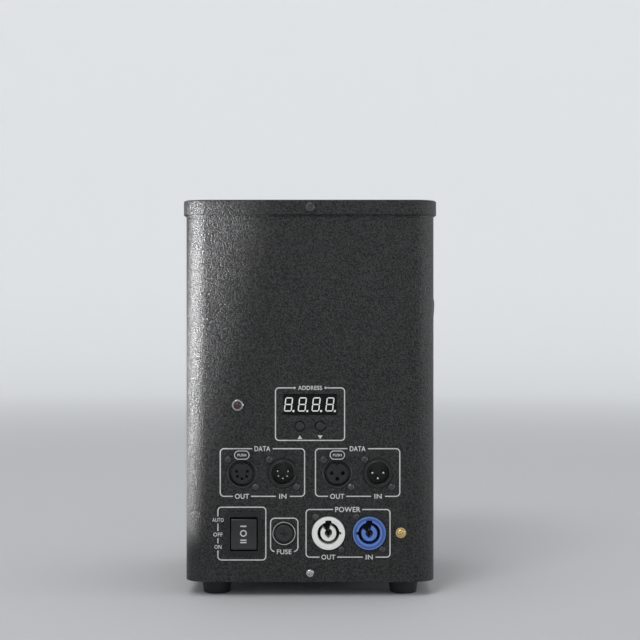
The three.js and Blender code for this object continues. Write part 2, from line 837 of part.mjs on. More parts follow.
function flameCup() {
  const outer = portRadius - cupGap;
  const inner = outer - cupSheet;
  const bottom = deckTop + cupOverDeck;
  const rim = lidUnder - seat;
  const profile = [
    [cupThroatRadius, bottom],
    [outer, bottom],
    [outer, rim - cupSheet],
    [outer + cupRimReach, rim - cupSheet],
    [outer + cupRimReach, rim],
    [outer, rim],
    [outer, lidTop - cupLow],
    [inner, lidTop - cupLow],
    [inner, bottom + cupSheet],
    [cupThroatRadius, bottom + cupSheet],
    [cupThroatRadius, bottom],
  ];
  const through = [bottom - overrun, bottom + cupSheet + overrun];
  const holes = Object.values(electrodePlaces).map((x) =>
    turnedZ(rod(insulatorRadius + cupGap, through), [x, 0], smallSteps),
  );
  return without(turnedZ(profile, [0, 0], fineSteps), ...holes);
}

// Spark electrode: a ceramic sleeve on a foot, with a bent wire that reaches in over the nozzle
const insulatorUnderDeck = 4;
const insulatorOverCup = 7;
const insulatorFootRadius = 7;
const insulatorFootHigh = 3;
const wireRadius = 0.8;
const wireRise = 6;
const wireBend = 3;
const sparkHalfGap = 3.5;
const insulatorBottom = deckBottom - insulatorUnderDeck;
const insulatorTop = deckTop + cupOverDeck + insulatorOverCup;

function electrode(place) {
  const side = Math.sign(place);
  const foot = deckTop + seat;
  const profile = [
    [0, insulatorBottom],
    [insulatorRadius, insulatorBottom],
    [insulatorRadius, foot],
    [insulatorFootRadius, foot],
    [insulatorFootRadius, foot + insulatorFootHigh],
    [insulatorRadius, foot + insulatorFootHigh],
    [insulatorRadius, insulatorTop],
    [0, insulatorTop],
  ];
  const tip = insulatorTop + wireRise;
  const points = [
    new THREE.Vector3(place, 0, insulatorTop - overrun),
    new THREE.Vector3(place, 0, tip),
    new THREE.Vector3(side * sparkHalfGap, 0, tip),
  ];
  const wire = bentTube(roundedPath(points, wireBend), wireRadius, 9, 6);
  return joined(turnedZ(profile, [place, 0], smallSteps), wire);
}

// Ignition module: a potted block with two terminals, and the leads from it to the electrodes
const moduleInset = 6.8;
const moduleWide = 46;
const moduleDeep = 30;
const moduleHigh = 40;
const moduleUnderLever = 6.5;
const terminalRadius = 4;
const terminalInset = 12;
const terminalPitch = 24;
const terminalRear = 11.4;
const terminalStep = 12;
const moduleLeft = -rightInner + moduleInset;
const moduleTop = leverBottom - moduleUnderLever;
const terminalTop = leverBottom + seat;
const terminals = {
  left: [moduleLeft + terminalInset + terminalPitch, mountFace - terminalRear],
  right: [moduleLeft + terminalInset, mountFace - terminalRear - terminalStep],
};

function ignitionModule() {
  const block = box(
    [moduleLeft, moduleLeft + moduleWide],
    [mountFace - moduleDeep, mountFace],
    [moduleTop - moduleHigh, moduleTop],
  );
  const posts = Object.values(terminals).map((place) =>
    turnedZ(rod(terminalRadius, [moduleTop - overrun, terminalTop]), place, smallSteps),
  );
  return joined(block, ...posts);
}

function highTensionLead(side) {
  const [x, y] = terminals[side];
  const end = electrodePlaces[side];
  const points = [
    new THREE.Vector3(x, y, terminalTop + seat),
    new THREE.Vector3(x, y, leadLevel),
    new THREE.Vector3(end, y, leadLevel),
    new THREE.Vector3(end, 0, leadLevel),
    new THREE.Vector3(end, 0, insulatorBottom - seat),
  ];
  return bentTube(roundedPath(points, leadBend), leadRadius, 30, 8);
}

// Boards and supply in the electrics bay
const supplyWide = 42;
const supplyDeep = 31;
const supplyHigh = 62;
const supplyOverLever = 7.5;
const supplyInset = 2;
const boardThick = 1.6;
const controlWide = 90;
const controlHigh = 60;
const controlPlace = -20;
const controlRise = 62.8;
const controlLevel = trayTop + controlRise + controlHigh / 2;
const controlStandoff = 4.8;
const postRadius = 2.5;
const postInset = 4;
const relayWide = 15.5;
const relayDeep = 6;
const relayHigh = 19;
const relayPitch = 20;

function powerSupply() {
  const right = partitionRight - sheet - supplyInset;
  const top = leverBottom + supplyOverLever;
  return box([right - supplyWide, right], [mountFace - supplyDeep, mountFace], [top - supplyHigh, top]);
}

function controlBoard() {
  const back = mountFace - controlStandoff;
  const face = back - boardThick;
  const board = box(about(controlPlace, controlWide), [face, back], about(controlLevel, controlHigh));
  const [reachX, reachZ] = [controlWide / 2 - postInset, controlHigh / 2 - postInset];
  const posts = [];
  for (const side of [-1, 1]) {
    for (const end of [-1, 1]) {
      const place = [controlPlace + side * reachX, controlLevel + end * reachZ];
      posts.push(turnedY(rod(postRadius, [back - boardThick / 2, mountFace]), place, smallSteps));
    }
  }
  const relays = [-1, 0, 1].map((step) =>
    box(
      about(controlPlace + step * relayPitch, relayWide),
      [face - relayDeep, face + boardThick / 2],
      about(controlLevel, relayHigh),
    ),
  );
  return joined(board, ...posts, ...relays);
}

// Round data sockets: a flange behind the panel and a ring that stands a little proud of it
const flangeWide = 26;
const flangeHigh = 31;
const flangeThick = 2;
const flangeRound = 2;
const socketProud = 0.9;
const socketDeep = 24;
const socketWall = 1.1;
const socketBack = 2;
const insertRadius = 7.9;
const insertProud = 0.3;
const contactRing = 4.2;
const contactHoleRadius = 1.3;
const contactHoleDeep = 10;
const wellRadius = 8.15;
const wellDeep = 15;
const pinTipShare = 0.5;
const pinBehindFace = 1.5;
const pinTip = 0.8;
const finePinRadius = 0.9;
const thickPinRadius = 1.2;
const threeWay = [180, 0, 270];
const fiveWay = [166, 14, 218, 322, 270];
const tabProud = 1.8;
const tabThick = 1.5;
const tabWide = 11.3;
const tabHigh = 6.7;
const tabStemDeep = 12;
const flangeFront = frontInner + seat;
const socketFront = frontFace - socketProud;
const socketRear = frontInner + socketDeep - sheet;

// Places of the contacts round the middle of a socket
function contactPlaces(angles, x) {
  return angles.map((angle) => {
    const turn = THREE.MathUtils.degToRad(angle);
    return [x + contactRing * Math.cos(turn), socketHigh + contactRing * Math.sin(turn)];
  });
}

function flange(x, z, through) {
  const shape = roundedRectangle(flangeWide, flangeHigh, flangeRound, [x, z]);
  const plate = plateY(shape, [flangeFront, flangeFront + flangeThick], 3);
  const cut = [flangeFront - overrun, flangeFront + flangeThick + overrun];
  return without(plate, turnedY(rod(through - seat, cut), [x, z]));
}

// A cup turned about the socket's axis: open at the front, closed at the back
function socketCup(x, inner, floor) {
  const profile = [
    [0, floor],
    [inner, floor],
    [inner, socketFront],
    [socketRadius, socketFront],
    [socketRadius, socketRear],
    [0, socketRear],
  ];
  return joined(turnedY(profile, [x, socketHigh]), flange(x, socketHigh, socketRadius));
}

function femaleShell(x) {
  const cup = socketCup(x, socketRadius - socketWall, socketRear - socketBack);
  const tabLevel = socketHigh + tabRise;
  const reach = tabHigh / 2 + seat;
  const notch = box(
    about(x, tabWide + 2 * seat),
    [socketFront - overrun, frontFace],
    [tabLevel - reach, tabLevel + reach],
  );
  const stemWay = box(
    about(x, tabStemWide + 2 * seat),
    [flangeFront - overrun, flangeFront + flangeThick + overrun],
    about(tabLevel, tabStemHigh + 2 * seat),
  );
  return without(cup, notch, stemWay);
}

function femaleInsert(x, angles) {
  const front = frontFace - insertProud;
  const body = turnedY(rod(insertRadius, [front, socketRear - socketBack - seat]), [x, socketHigh]);
  const holes = contactPlaces(angles, x).map((place) =>
    turnedY(rod(contactHoleRadius, [front - overrun, front + contactHoleDeep]), place, smallSteps),
  );
  return without(body, ...holes);
}

function maleSocket(x, angles, pinRadius) {
  const floor = socketFront + wellDeep;
  const front = frontFace + pinBehindFace;
  const pins = contactPlaces(angles, x).map((place) =>
    turnedY(
      [
        [0, front],
        [pinRadius * pinTipShare, front],
        [pinRadius, front + pinTip],
        [pinRadius, floor + overrun],
        [0, floor + overrun],
      ],
      place,
      smallSteps,
    ),
  );
  return joined(socketCup(x, wellRadius, floor), ...pins);
}

function latchTab(x) {
  const level = socketHigh + tabRise;
  const front = frontFace - tabProud - tabThick;
  const pad = plateY(
    roundedRectangle(tabWide, tabHigh, tabHigh / 2, [x, level]),
    [front, front + tabThick],
  );
  const stem = box(
    about(x, tabStemWide),
    [front + tabThick / 2, frontFace + tabStemDeep],
    about(level, tabStemHigh),
  );
  return joined(pad, stem);
}

// Locking mains sockets: a ring with two keyways round a split core
const mainsProud = 2.2;
const mainsDeep = 26;
const mainsInner = 8.4;
const mainsFloor = 22;
const coreRadius = 5.75;
const coreBore = 2.8;
const coreProud = 1.6;
const coreSplitWide = 3.8;
const keyWide = 4.4;
const keyHigh = 2.4;
const sideKeyHigh = 3.2;
const keyDeep = 6;
const mainsFront = frontFace - mainsProud;

function mainsSocket(x, side) {
  const profile = [
    [0, frontFace + mainsFloor],
    [mainsInner, frontFace + mainsFloor],
    [mainsInner, mainsFront],
    [mainsRadius, mainsFront],
    [mainsRadius, frontFace + mainsDeep],
    [0, frontFace + mainsDeep],
  ];
  const depth = [mainsFront - overrun, mainsFront + keyDeep];
  const keyTop = mainsInner + keyHigh;
  const sideSpan = side > 0 ? [x, x + keyTop] : [x - keyTop, x];
  return without(
    joined(turnedY(profile, [x, mainsHigh]), flange(x, mainsHigh, mainsRadius)),
    box(about(x, keyWide), depth, [mainsHigh + mainsInner / 2, mainsHigh + keyTop]),
    box(sideSpan, depth, about(mainsHigh, sideKeyHigh)),
  );
}

function mainsCore(x) {
  const front = frontFace - coreProud;
  const rear = frontFace + mainsFloor - seat;
  const ring = turnedY(tube(coreBore, coreRadius, [front, rear]), [x, mainsHigh]);
  const split = box(
    about(x, coreSplitWide),
    [front - overrun, front + contactHoleDeep],
    [mainsHigh, mainsHigh + coreRadius + overrun],
  );
  return without(ring, split);
}

// Three-position rocker switch
const rockerWide = 26;
const rockerTall = 31.5;
const rockerProud = 1.7;
const rockerDeep = 22;
const rockerRound = 1.5;
const capWide = 19.4;
const capTall = 22.3;
const capThick = 8.5;
const capProud = 4.5;
const capDip = 0.6;
const apertureSide = 0.3;
const apertureEnd = 0.95;
const apertureDeep = 6.5;
const trunnionRadius = 1.2;
const trunnionReach = 0.7;
const bladeWide = 0.8;
const bladeHigh = 4.8;
const bladeDeep = 8;
const bladeSpan = 12;
const bladePitch = 9;
const rockerFront = frontFace - seat - rockerProud;
const capFront = frontFace - capProud;
const capPivot = capFront + capThick / 2;

function rockerHousing() {
  const rear = frontFace + rockerDeep;
  const plate = plateY(
    roundedRectangle(rockerWide, rockerTall, rockerRound, [rockerPlace, rockerHigh]),
    [rockerFront, frontFace - seat],
    3,
  );
  const body = box(
    about(rockerPlace, rockerBodyWide),
    [frontFace - seat - rockerProud / 2, rear],
    about(rockerHigh, rockerBodyHigh),
  );
  const pocket = box(
    about(rockerPlace, capWide + 2 * apertureSide),
    [rockerFront - overrun, frontFace + apertureDeep],
    about(rockerHigh, capTall + 2 * apertureEnd),
  );
  const reach = capWide / 2 + trunnionReach + seat;
  const pivotHole = turnedX(
    rod(trunnionRadius + seat, [rockerPlace - reach, rockerPlace + reach]),
    [capPivot, rockerHigh],
    smallSteps,
  );
  const blades = [];
  for (const side of [-1, 1]) {
    for (const row of [-1, 0, 1]) {
      blades.push(
        box(
          about(rockerPlace + (side * bladeSpan) / 2, bladeWide),
          [rear - overrun, rear + bladeDeep],
          about(rockerHigh + row * bladePitch, bladeHigh),
        ),
      );
    }
  }
  return joined(without(joined(plate, body), pocket, pivotHole), ...blades);
}

function rockerCap() {
  const half = capTall / 2;
  const profile = outline([
    [capFront, rockerHigh - half],
    [capFront + capThick, rockerHigh - half],
    [capFront + capThick, rockerHigh + half],
    [capFront, rockerHigh + half],
    [capFront + capDip, rockerHigh],
  ]);
  const cap = plateX(profile, about(rockerPlace, capWide));
  const reach = capWide / 2 + trunnionReach;
  const trunnions = turnedX(
    rod(trunnionRadius, [rockerPlace - reach, rockerPlace + reach]),
    [capPivot, rockerHigh],
    smallSteps,
  );
  return joined(cap, trunnions);
}

// Fuse holder, its bayonet cap and the fuse that the cap carries
const fuseRingRadius = 8.35;
const fuseRingProud = 1.9;
const fuseRecess = 1;
const fuseBoreRadius = 4.4;
const fuseHolderDeep = 32;
const fuseBack = 2;
const fuseCapRadius = 6.5;
const fuseCapThick = 1.8;
const fuseCapRound = 0.5;
const carrierDeep = 9.5;
const carrierGrip = 6;
const fuseRadius = 2.5;
const fuseLong = 20;
const fuseEndCap = 5.2;
const fuseGlassShare = 0.9;
const capSlotWide = 0.9;
const capSlotLong = 7;
const capSlotDeep = 0.8;
const fuseRingFront = frontFace - seat - fuseRingProud;
const fuseCapBack = fuseRingFront + fuseRecess - seat;
const fuseCapFront = fuseCapBack - fuseCapThick;
const carrierRear = fuseCapBack + carrierDeep;

function fuseHolder() {
  const rear = frontFace + fuseHolderDeep;
  const profile = [
    [0, rear - fuseBack],
    [fuseBoreRadius, rear - fuseBack],
    [fuseBoreRadius, fuseRingFront + fuseRecess],
    [fuseCapRadius + seat, fuseRingFront + fuseRecess],
    [fuseCapRadius + seat, fuseRingFront],
    [fuseRingRadius, fuseRingFront],
    [fuseRingRadius, frontFace - seat],
    [fuseBodyRadius, frontFace - seat],
    [fuseBodyRadius, rear],
    [0, rear],
  ];
  return turnedY(profile, [fusePlace, fuseHigh]);
}

function fuseCap() {
  const profile = [
    [0, fuseCapFront],
    [fuseCapRadius - fuseCapRound, fuseCapFront],
    [fuseCapRadius, fuseCapFront + fuseCapRound],
    [fuseCapRadius, fuseCapBack],
    [fuseBoreRadius - seat, fuseCapBack],
    [fuseBoreRadius - seat, carrierRear],
    [fuseRadius + seat, carrierRear],
    [fuseRadius + seat, carrierRear - carrierGrip],
    [0, carrierRear - carrierGrip],
  ];
  const depth = [fuseCapFront - overrun, fuseCapFront + capSlotDeep];
  return without(
    turnedY(profile, [fusePlace, fuseHigh]),
    box(about(fusePlace, capSlotWide), depth, about(fuseHigh, capSlotLong)),
    box(about(fusePlace, capSlotLong), depth, about(fuseHigh, capSlotWide)),
  );
}

function glassFuse() {
  const front = carrierRear - carrierGrip + seat;
  const rear = front + fuseLong;
  const profile = [
    [0, front],
    [fuseRadius, front],
    [fuseRadius, front + fuseEndCap],
    [fuseRadius * fuseGlassShare, front + fuseEndCap],
    [fuseRadius * fuseGlassShare, rear - fuseEndCap],
    [fuseRadius, rear - fuseEndCap],
    [fuseRadius, rear],
    [0, rear],
  ];
  return turnedY(profile, [fusePlace, fuseHigh], smallSteps);
}

// Indicator lamp: a chrome bezel and a red lens
const lampRimRadius = 4.4;
const lampRimProud = 1.3;
const lampRimBevel = 0.6;
const lampDeep = 10;
const lensRadius = 2.7;
const lensProud = 2.6;
const lensDomeShare = 0.6;

function lampBezel() {
  const front = frontFace - seat - lampRimProud;
  const profile = [
    [lensRadius + seat, front],
    [lampRimRadius - lampRimBevel, front],
    [lampRimRadius, front + lampRimBevel],
    [lampRimRadius, frontFace - seat],
    [lampBodyRadius, frontFace - seat],
    [lampBodyRadius, frontFace + lampDeep],
    [lensRadius + seat, frontFace + lampDeep],
    [lensRadius + seat, front],
  ];
  return turnedY(profile, [lampPlace, lampHigh]);
}

function lampLens() {
  const front = frontFace - lensProud;
  const rim = front + lampRimProud;
  const profile = [
    [0, front],
    [lensRadius * lensDomeShare, front + (rim - front) / 4],
    [lensRadius, rim],
    [lensRadius, frontFace + lampDeep],
    [0, frontFace + lampDeep],
  ];
  return turnedY(profile, [lampPlace, lampHigh]);
}

// Display: a module in its window, on a board that also carries the two switches under the buttons
const displayRecess = 0.6;
const boardDepth = 12;
const boardWide = 64;
const boardTop = 158;
const boardBottom = 113;
const switchWide = 6.2;
const switchDeep = 3;
const buttonProud = 1.2;
const buttonLift = 1.1;
const buttonRimRadius = 4.6;
const buttonRimThick = 1;
const boardFace = frontFace + boardDepth;

function displayModule() {
  return box(
    about(0, displayWide),
    [frontFace + displayRecess, boardFace - seat],
    about(displayHigh, displayTall),
  );
}

function displayBoard() {
  const half = boardWide / 2 - postInset;
  const post = rod(postRadius, [frontInner + seat, boardFace + boardThick / 2]);
  const posts = [];
  for (const x of [-half, half]) {
    for (const z of [boardBottom + postInset, boardTop - postInset]) {
      posts.push(turnedY(post, [x, z], smallSteps));
    }
  }
  const switchReach = [boardFace - switchDeep, boardFace + boardThick / 2];
  const switches = [-buttonPlace, buttonPlace].map((x) =>
    box(about(x, switchWide), switchReach, about(buttonHigh, switchWide)),
  );
  const board = box(about(0, boardWide), [boardFace, boardFace + boardThick], [boardBottom, boardTop]);
  return joined(board, ...posts, ...switches);
}

function button(x) {
  const rim = frontInner + seat;
  const rear = boardFace - switchDeep - buttonLift;
  const profile = [
    [0, frontFace - buttonProud],
    [buttonRadius, frontFace - buttonProud],
    [buttonRadius, rim],
    [buttonRimRadius, rim],
    [buttonRimRadius, rim + buttonRimThick],
    [buttonRadius, rim + buttonRimThick],
    [buttonRadius, rear],
    [0, rear],
  ];
  return turnedY(profile, [x, buttonHigh]);
}

// Earth screw: a brass stud with its washer in front of the panel and its nut behind
const earthWasherRadius = 3.95;
const earthWasherThick = 0.6;
const earthHeadRadius = 3.1;
const earthHeadHigh = 2.1;
const earthNutRadius = 4;
const earthNutThick = 3;
const earthDeep = 12;

function earthScrew() {
  const washer = frontFace - seat;
  const head = washer - earthWasherThick;
  const nut = frontInner + seat;
  const profile = [
    [0, head - earthHeadHigh],
    [earthHeadRadius * headTopShare, head - earthHeadHigh],
    [earthHeadRadius, head - earthHeadHigh / 2],
    [earthHeadRadius, head],
    [earthWasherRadius, head],
    [earthWasherRadius, washer],
    [earthRadius, washer],
    [earthRadius, nut],
    [earthNutRadius, nut],
    [earthNutRadius, nut + earthNutThick],
    [earthRadius, nut + earthNutThick],
    [earthRadius, frontFace + earthDeep],
    [0, frontFace + earthDeep],
  ];
  return turnedY(profile, [earthPlace, earthHigh], smallSteps);
}

// The assembly, group by group
function group(name, pieces) {
  const made = new THREE.Group();
  made.name = name;
  for (const [piece, body, material] of pieces) made.add(mesh(piece, body, material));
  machine.add(made);
}

group("enclosure", [
  ["body_shell", bodyShell(), powderCoat],
  ["base_tray", baseTray(), powderCoat],
  ["rear_cover", rearCover(), powderCoat],
  ["lid", lid(), powderCoat],
  ...Object.entries(footPlaces).map(([side, place]) => ["foot_" + side, foot(place), rubber]),
  ["lid_screw_front", panScrew(lidScrewLevel, skirtFront, -1, lidScrewHeadRadius, screwReach), steel],
  ["lid_screw_rear", panScrew(lidScrewLevel, skirtRear, 1, lidScrewHeadRadius, screwReach), steel],
  ["base_screw_front", panScrew(baseScrewLevel, frontFace, -1, baseScrewHeadRadius, screwReach), steel],
  ["base_screw_rear", panScrew(baseScrewLevel, coverOuter, 1, baseScrewHeadRadius, screwReach), steel],
]);

group("door", [
  ["side_door", sideDoor(), powderCoat],
  ["hinge_pin_lower", hingePin(sill - sheet, -1), steel],
  ["hinge_pin_upper", hingePin(lintel + sheet, 1), steel],
  ["latch_handle", latchHandle(), powderCoat],
  ["latch_cam", latchCam(), steel],
]);

group("control_panel", [
  ["lamp_bezel", lampBezel(), chrome],
  ["lamp_lens", lampLens(), redLens],
  ["display_module", displayModule(), glossBlack],
  ["display_board", displayBoard(), circuitBoard],
  ["button_up", button(-buttonPlace), blackPlastic],
  ["button_down", button(buttonPlace), blackPlastic],
  ["data_out_5_shell", femaleShell(-socketFar), blackPlastic],
  ["data_out_5_insert", femaleInsert(-socketFar, fiveWay), blackPlastic],
  ["data_out_5_tab", latchTab(-socketFar), blackPlastic],
  ["data_in_5_socket", maleSocket(-socketNear, fiveWay, finePinRadius), blackPlastic],
  ["data_out_3_shell", femaleShell(socketNear), blackPlastic],
  ["data_out_3_insert", femaleInsert(socketNear, threeWay), blackPlastic],
  ["data_out_3_tab", latchTab(socketNear), blackPlastic],
  ["data_in_3_socket", maleSocket(socketFar, threeWay, thickPinRadius), blackPlastic],
  ["mains_out_socket", mainsSocket(mainsOutPlace, 1), whitePlastic],
  ["mains_out_core", mainsCore(mainsOutPlace), whitePlastic],
  ["mains_in_socket", mainsSocket(mainsOutPlace + mainsPitch, -1), bluePlastic],
  ["mains_in_core", mainsCore(mainsOutPlace + mainsPitch), bluePlastic],
  ["rocker_housing", rockerHousing(), blackPlastic],
  ["rocker_cap", rockerCap(), blackPlastic],
  ["fuse_holder", fuseHolder(), glossBlack],
  ["fuse_cap", fuseCap(), blackPlastic],
  ["glass_fuse", glassFuse(), glass],
  ["earth_screw", earthScrew(), brass],
]);

group("electrics", [
  ["partition", partition(), stainless],
  ["power_supply", powerSupply(), steel],
  ["control_board", controlBoard(), circuitBoard],
  ["ignition_module", ignitionModule(), blackPlastic],
  ["lead_left", highTensionLead("left"), leadRubber],
  ["lead_right", highTensionLead("right"), leadRubber],
]);

group("burner", [
  ["upper_deck", upperDeck(), stainless],
  ["can_cradle", canCradle(), stainless],
  ["fuel_can", fuelCan(), canPaint],
  ["nozzle_head", nozzleHead(), brass],
  ["press_lever", pressLever(), steel],
  ["lever_bracket", leverBracket(), steel],
  ["lever_pin", leverPin(), steel],
  ["solenoid", solenoid(), steel],
  ["plunger", plunger(), steel],
  ["return_spring", returnSpring(), steel],
  ["flame_cup", flameCup(), stainless],
  ["electrode_left", electrode(electrodePlaces.left), ceramic],
  ["electrode_right", electrode(electrodePlaces.right), ceramic],
]);

// The origin lies on the floor under the middle of the whole machine
const whole = new THREE.Box3().setFromObject(machine);
const middle = whole.getCenter(new THREE.Vector3());
machine.position.set(-middle.x, -middle.y, -whole.min.z);

export default machine;
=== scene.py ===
# Stage flame machine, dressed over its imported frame. Metres, +Z up, control panel towards -Y.
import math
import bmesh
import bpy
import numpy as np
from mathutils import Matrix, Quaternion, Vector
from mathutils.geometry import delaunay_2d_cdt


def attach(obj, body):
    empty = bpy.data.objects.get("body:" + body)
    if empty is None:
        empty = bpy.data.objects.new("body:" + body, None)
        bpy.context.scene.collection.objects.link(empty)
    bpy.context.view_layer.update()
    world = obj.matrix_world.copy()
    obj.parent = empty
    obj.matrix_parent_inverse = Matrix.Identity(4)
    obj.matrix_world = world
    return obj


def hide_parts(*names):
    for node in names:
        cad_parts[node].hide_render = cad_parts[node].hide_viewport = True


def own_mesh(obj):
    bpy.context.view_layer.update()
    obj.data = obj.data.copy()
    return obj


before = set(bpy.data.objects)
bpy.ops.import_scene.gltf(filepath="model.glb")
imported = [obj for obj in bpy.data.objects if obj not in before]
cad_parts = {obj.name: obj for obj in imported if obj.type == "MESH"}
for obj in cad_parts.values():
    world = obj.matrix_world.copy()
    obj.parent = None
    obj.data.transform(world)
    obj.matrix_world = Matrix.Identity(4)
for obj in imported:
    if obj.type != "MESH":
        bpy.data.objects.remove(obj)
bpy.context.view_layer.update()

# Camera: level, square to the control panel and a little above its middle, with a long lens.
# The small shift holds the machine low and a touch left of the middle, as in the photograph.
MM = 0.001
CENTRE_X, PANEL_Y = -4.2, -92
CAMERA_OFF, CAMERA_HIGH = 1150, 214.6
scene = bpy.context.scene
camera_data = bpy.data.cameras.new("camera")
camera_data.sensor_width, camera_data.lens = 36, 88
camera_data.shift_x, camera_data.shift_y = 0.0156, -0.0234
camera = bpy.data.objects.new("camera", camera_data)
camera.location = (CENTRE_X * MM, (PANEL_Y - CAMERA_OFF) * MM, CAMERA_HIGH * MM)
camera.rotation_euler = (math.radians(90), 0, 0)
scene.collection.objects.link(camera)
scene.camera = camera

# Studio: a pale floor that rises all round into a low wall, in a pale grey world, with a large soft
# lamp in front and one above. A thin leaning beam from the left draws the bright line down the box's
# round corner, and a small lamp on the right lights its other edge.
scene.view_settings.view_transform = "Standard"


def wire(tree, node, values=(), links=()):
    """Sets plain inputs of a shader node, and joins other inputs to the outputs that feed them."""
    for socket, value in dict(values).items():
        node.inputs[socket].default_value = value
    for socket, source in dict(links).items():
        tree.links.new(source, node.inputs[socket])
    return node


def add(tree, kind, values=(), links=(), **settings):
    """Places one shader node, sets its options and wires it."""
    node = tree.nodes.new("ShaderNode" + kind)
    for key, value in settings.items():
        setattr(node, key, value)
    return wire(tree, node, values, links)


def new_material(name):
    """A material with its node tree and its shader."""
    material = bpy.data.materials.new(name)
    material.use_nodes = True
    return material, material.node_tree, material.node_tree.nodes["Principled BSDF"]


def full_turn(count):
    """Angles that go evenly once round a circle."""
    return np.arange(count) * 2 * math.pi / count


def skin(points, close_u=False, close_v=False, flip=False):
    """A surface from its grid of points, shape (rows, columns, 3): each cell between neighbouring
    rows and columns is one quad. A closed direction joins its last line to its first."""
    rows, columns = points.shape[:2]
    u = np.arange(rows if close_u else rows - 1)
    v = np.arange(columns if close_v else columns - 1)
    u, v = np.meshgrid(u, v, indexing="ij")
    u_next, v_next = (u + 1) % rows, (v + 1) % columns
    corners = [u * columns + v, u * columns + v_next, u_next * columns + v_next, u_next * columns + v]
    quads = np.stack(corners, -1).reshape(-1, 4)
    return points, (quads[:, ::-1] if flip else quads)


def turned(profile, place=(0, 0, 0), axis="z", count=48):
    """A surface of revolution: each (radius, distance along the axis) of the profile becomes a ring
    of points (r cos t, r sin t) across the axis. Rings across y run the other way round."""
    r, h = np.asarray(profile, float).T
    a, b = r[:, None] * np.cos(full_turn(count)), r[:, None] * np.sin(full_turn(count))
    c = np.broadcast_to(h[:, None], a.shape)
    x, y, z = {"z": (a, b, c), "y": (a, c, b), "x": (c, a, b)}[axis]
    return skin(np.stack([x, y, z], -1) + place, close_v=True, flip=axis == "y")


def made_of(name, points, faces, material):
    """A smooth object from points in metres and a list of faces. Points that lie within a thousandth
    of a millimetre are joined, and faces without area are dropped."""
    mesh = bpy.data.meshes.new(name)
    mesh.from_pydata(points.reshape(-1, 3).tolist(), [], [list(map(int, face)) for face in faces])
    work = bmesh.new()
    work.from_mesh(mesh)
    bmesh.ops.remove_doubles(work, verts=work.verts, dist=1e-6)
    bmesh.ops.dissolve_degenerate(work, edges=work.edges, dist=1e-7)
    work.to_mesh(mesh)
    work.free()
    mesh.polygons.foreach_set("use_smooth", np.ones(len(mesh.polygons), bool))
    mesh.update()
    mesh.materials.append(material)
    made = bpy.data.objects.new(name, mesh)
    scene.collection.objects.link(made)
    return made


# The floor glows a little more the farther it is, as a lit backdrop does
FLOOR_REACH, WALL_BEND, WALL_TOP = 2.5, 1.5, 3.2
pale, tree, shader = new_material("pale_stage")
away = add(tree, "VectorMath", {}, {0: add(tree, "TexCoord").outputs["Object"]}, operation="LENGTH")
glow = add(tree, "MapRange", {"From Min": 0.9, "From Max": 3.6, "To Max": 0.31},
           {"Value": away.outputs["Value"]}, interpolation_type="SMOOTHSTEP")
wire(tree, shader,
     {"Base Color": (0.66, 0.67, 0.68, 1), "Roughness": 0.85, "Emission Color": (0.96, 0.98, 1, 1)},
     {"Emission Strength": glow.outputs["Result"]})
t = np.linspace(0, math.pi / 2, 17)[1:]
rise = np.column_stack([FLOOR_REACH + WALL_BEND * np.sin(t), WALL_BEND * (1 - np.cos(t))])
sweep = [(0, 0), (0.6, 0), (FLOOR_REACH, 0), *rise, (FLOOR_REACH + WALL_BEND, WALL_TOP)]
floor = made_of("pale_stage", *turned(sweep, count=96), pale)

# The world is bright to the camera and through glass, and dim as a light
world = bpy.data.worlds.new("studio")
scene.world = world
world.use_nodes = True
tree = world.node_tree
rays = add(tree, "LightPath").outputs
seen = add(tree, "Math", {}, {0: rays["Is Camera Ray"], 1: rays["Is Transmission Ray"]}, operation="MAXIMUM")
level = add(tree, "MapRange", {"To Min": 0.2, "To Max": 0.95}, {"Value": seen.outputs[0]})
wire(tree, tree.nodes["Background"], {"Color": (0.86, 0.88, 0.9, 1)}, {"Strength": level.outputs["Result"]})


def lamp(name, place, aim, wide, high, watts, spread=180, lean=0):
    """A soft rectangular lamp at a place, turned towards an aim point. Its light keeps within the
    spread, and its upright side leans, both in degrees."""
    data = bpy.data.lights.new(name, "AREA")
    data.shape = "RECTANGLE"
    data.size, data.size_y, data.energy, data.spread = wide, high, watts, math.radians(spread)
    made = bpy.data.objects.new(name, data)
    made.location = place
    made.rotation_mode = "QUATERNION"
    towards = (Vector(aim) - Vector(place)).to_track_quat("-Z", "Y")
    made.rotation_quaternion = towards @ Quaternion((0, 0, 1), math.radians(lean))
    scene.collection.objects.link(made)


lamp("front_soft", (-1.1, -2.4, 2.9), (CENTRE_X * MM, 0, 0.15), 1.4, 1.2, 37)
lamp("top_soft", (0.2, 0.2, 4.6), (0, 0.4, 0), 3.6, 3.6, 46)
lamp("left_strip", (-1.1, -0.52, 0.17), (-0.0965, -0.088, 0.17), 0.014, 0.25, 0.16, 1.8, -5)
lamp("right_strip", (1.2, -0.2, 0.225), (0.08, -0.08, 0.245), 0.05, 0.12, 0.16, 30)

# Powder coat: the steel sheet is sprayed with charcoal powder and baked, which leaves a fine sandy
# grain, a slight unevenness and a few pale rubbed spots. Every later finish uses the same two groups.


def effect(name, inputs, outputs):
    """An empty node group with named inputs, of which Vector is a vector, and number outputs."""
    group = bpy.data.node_groups.new(name, "ShaderNodeTree")
    for label in inputs:
        kind = "NodeSocketVector" if label == "Vector" else "NodeSocketFloat"
        group.interface.new_socket(label, in_out="INPUT", socket_type=kind)
    for label in outputs:
        group.interface.new_socket(label, in_out="OUTPUT", socket_type="NodeSocketFloat")
    return group, group.nodes.new("NodeGroupInput").outputs, group.nodes.new("NodeGroupOutput")


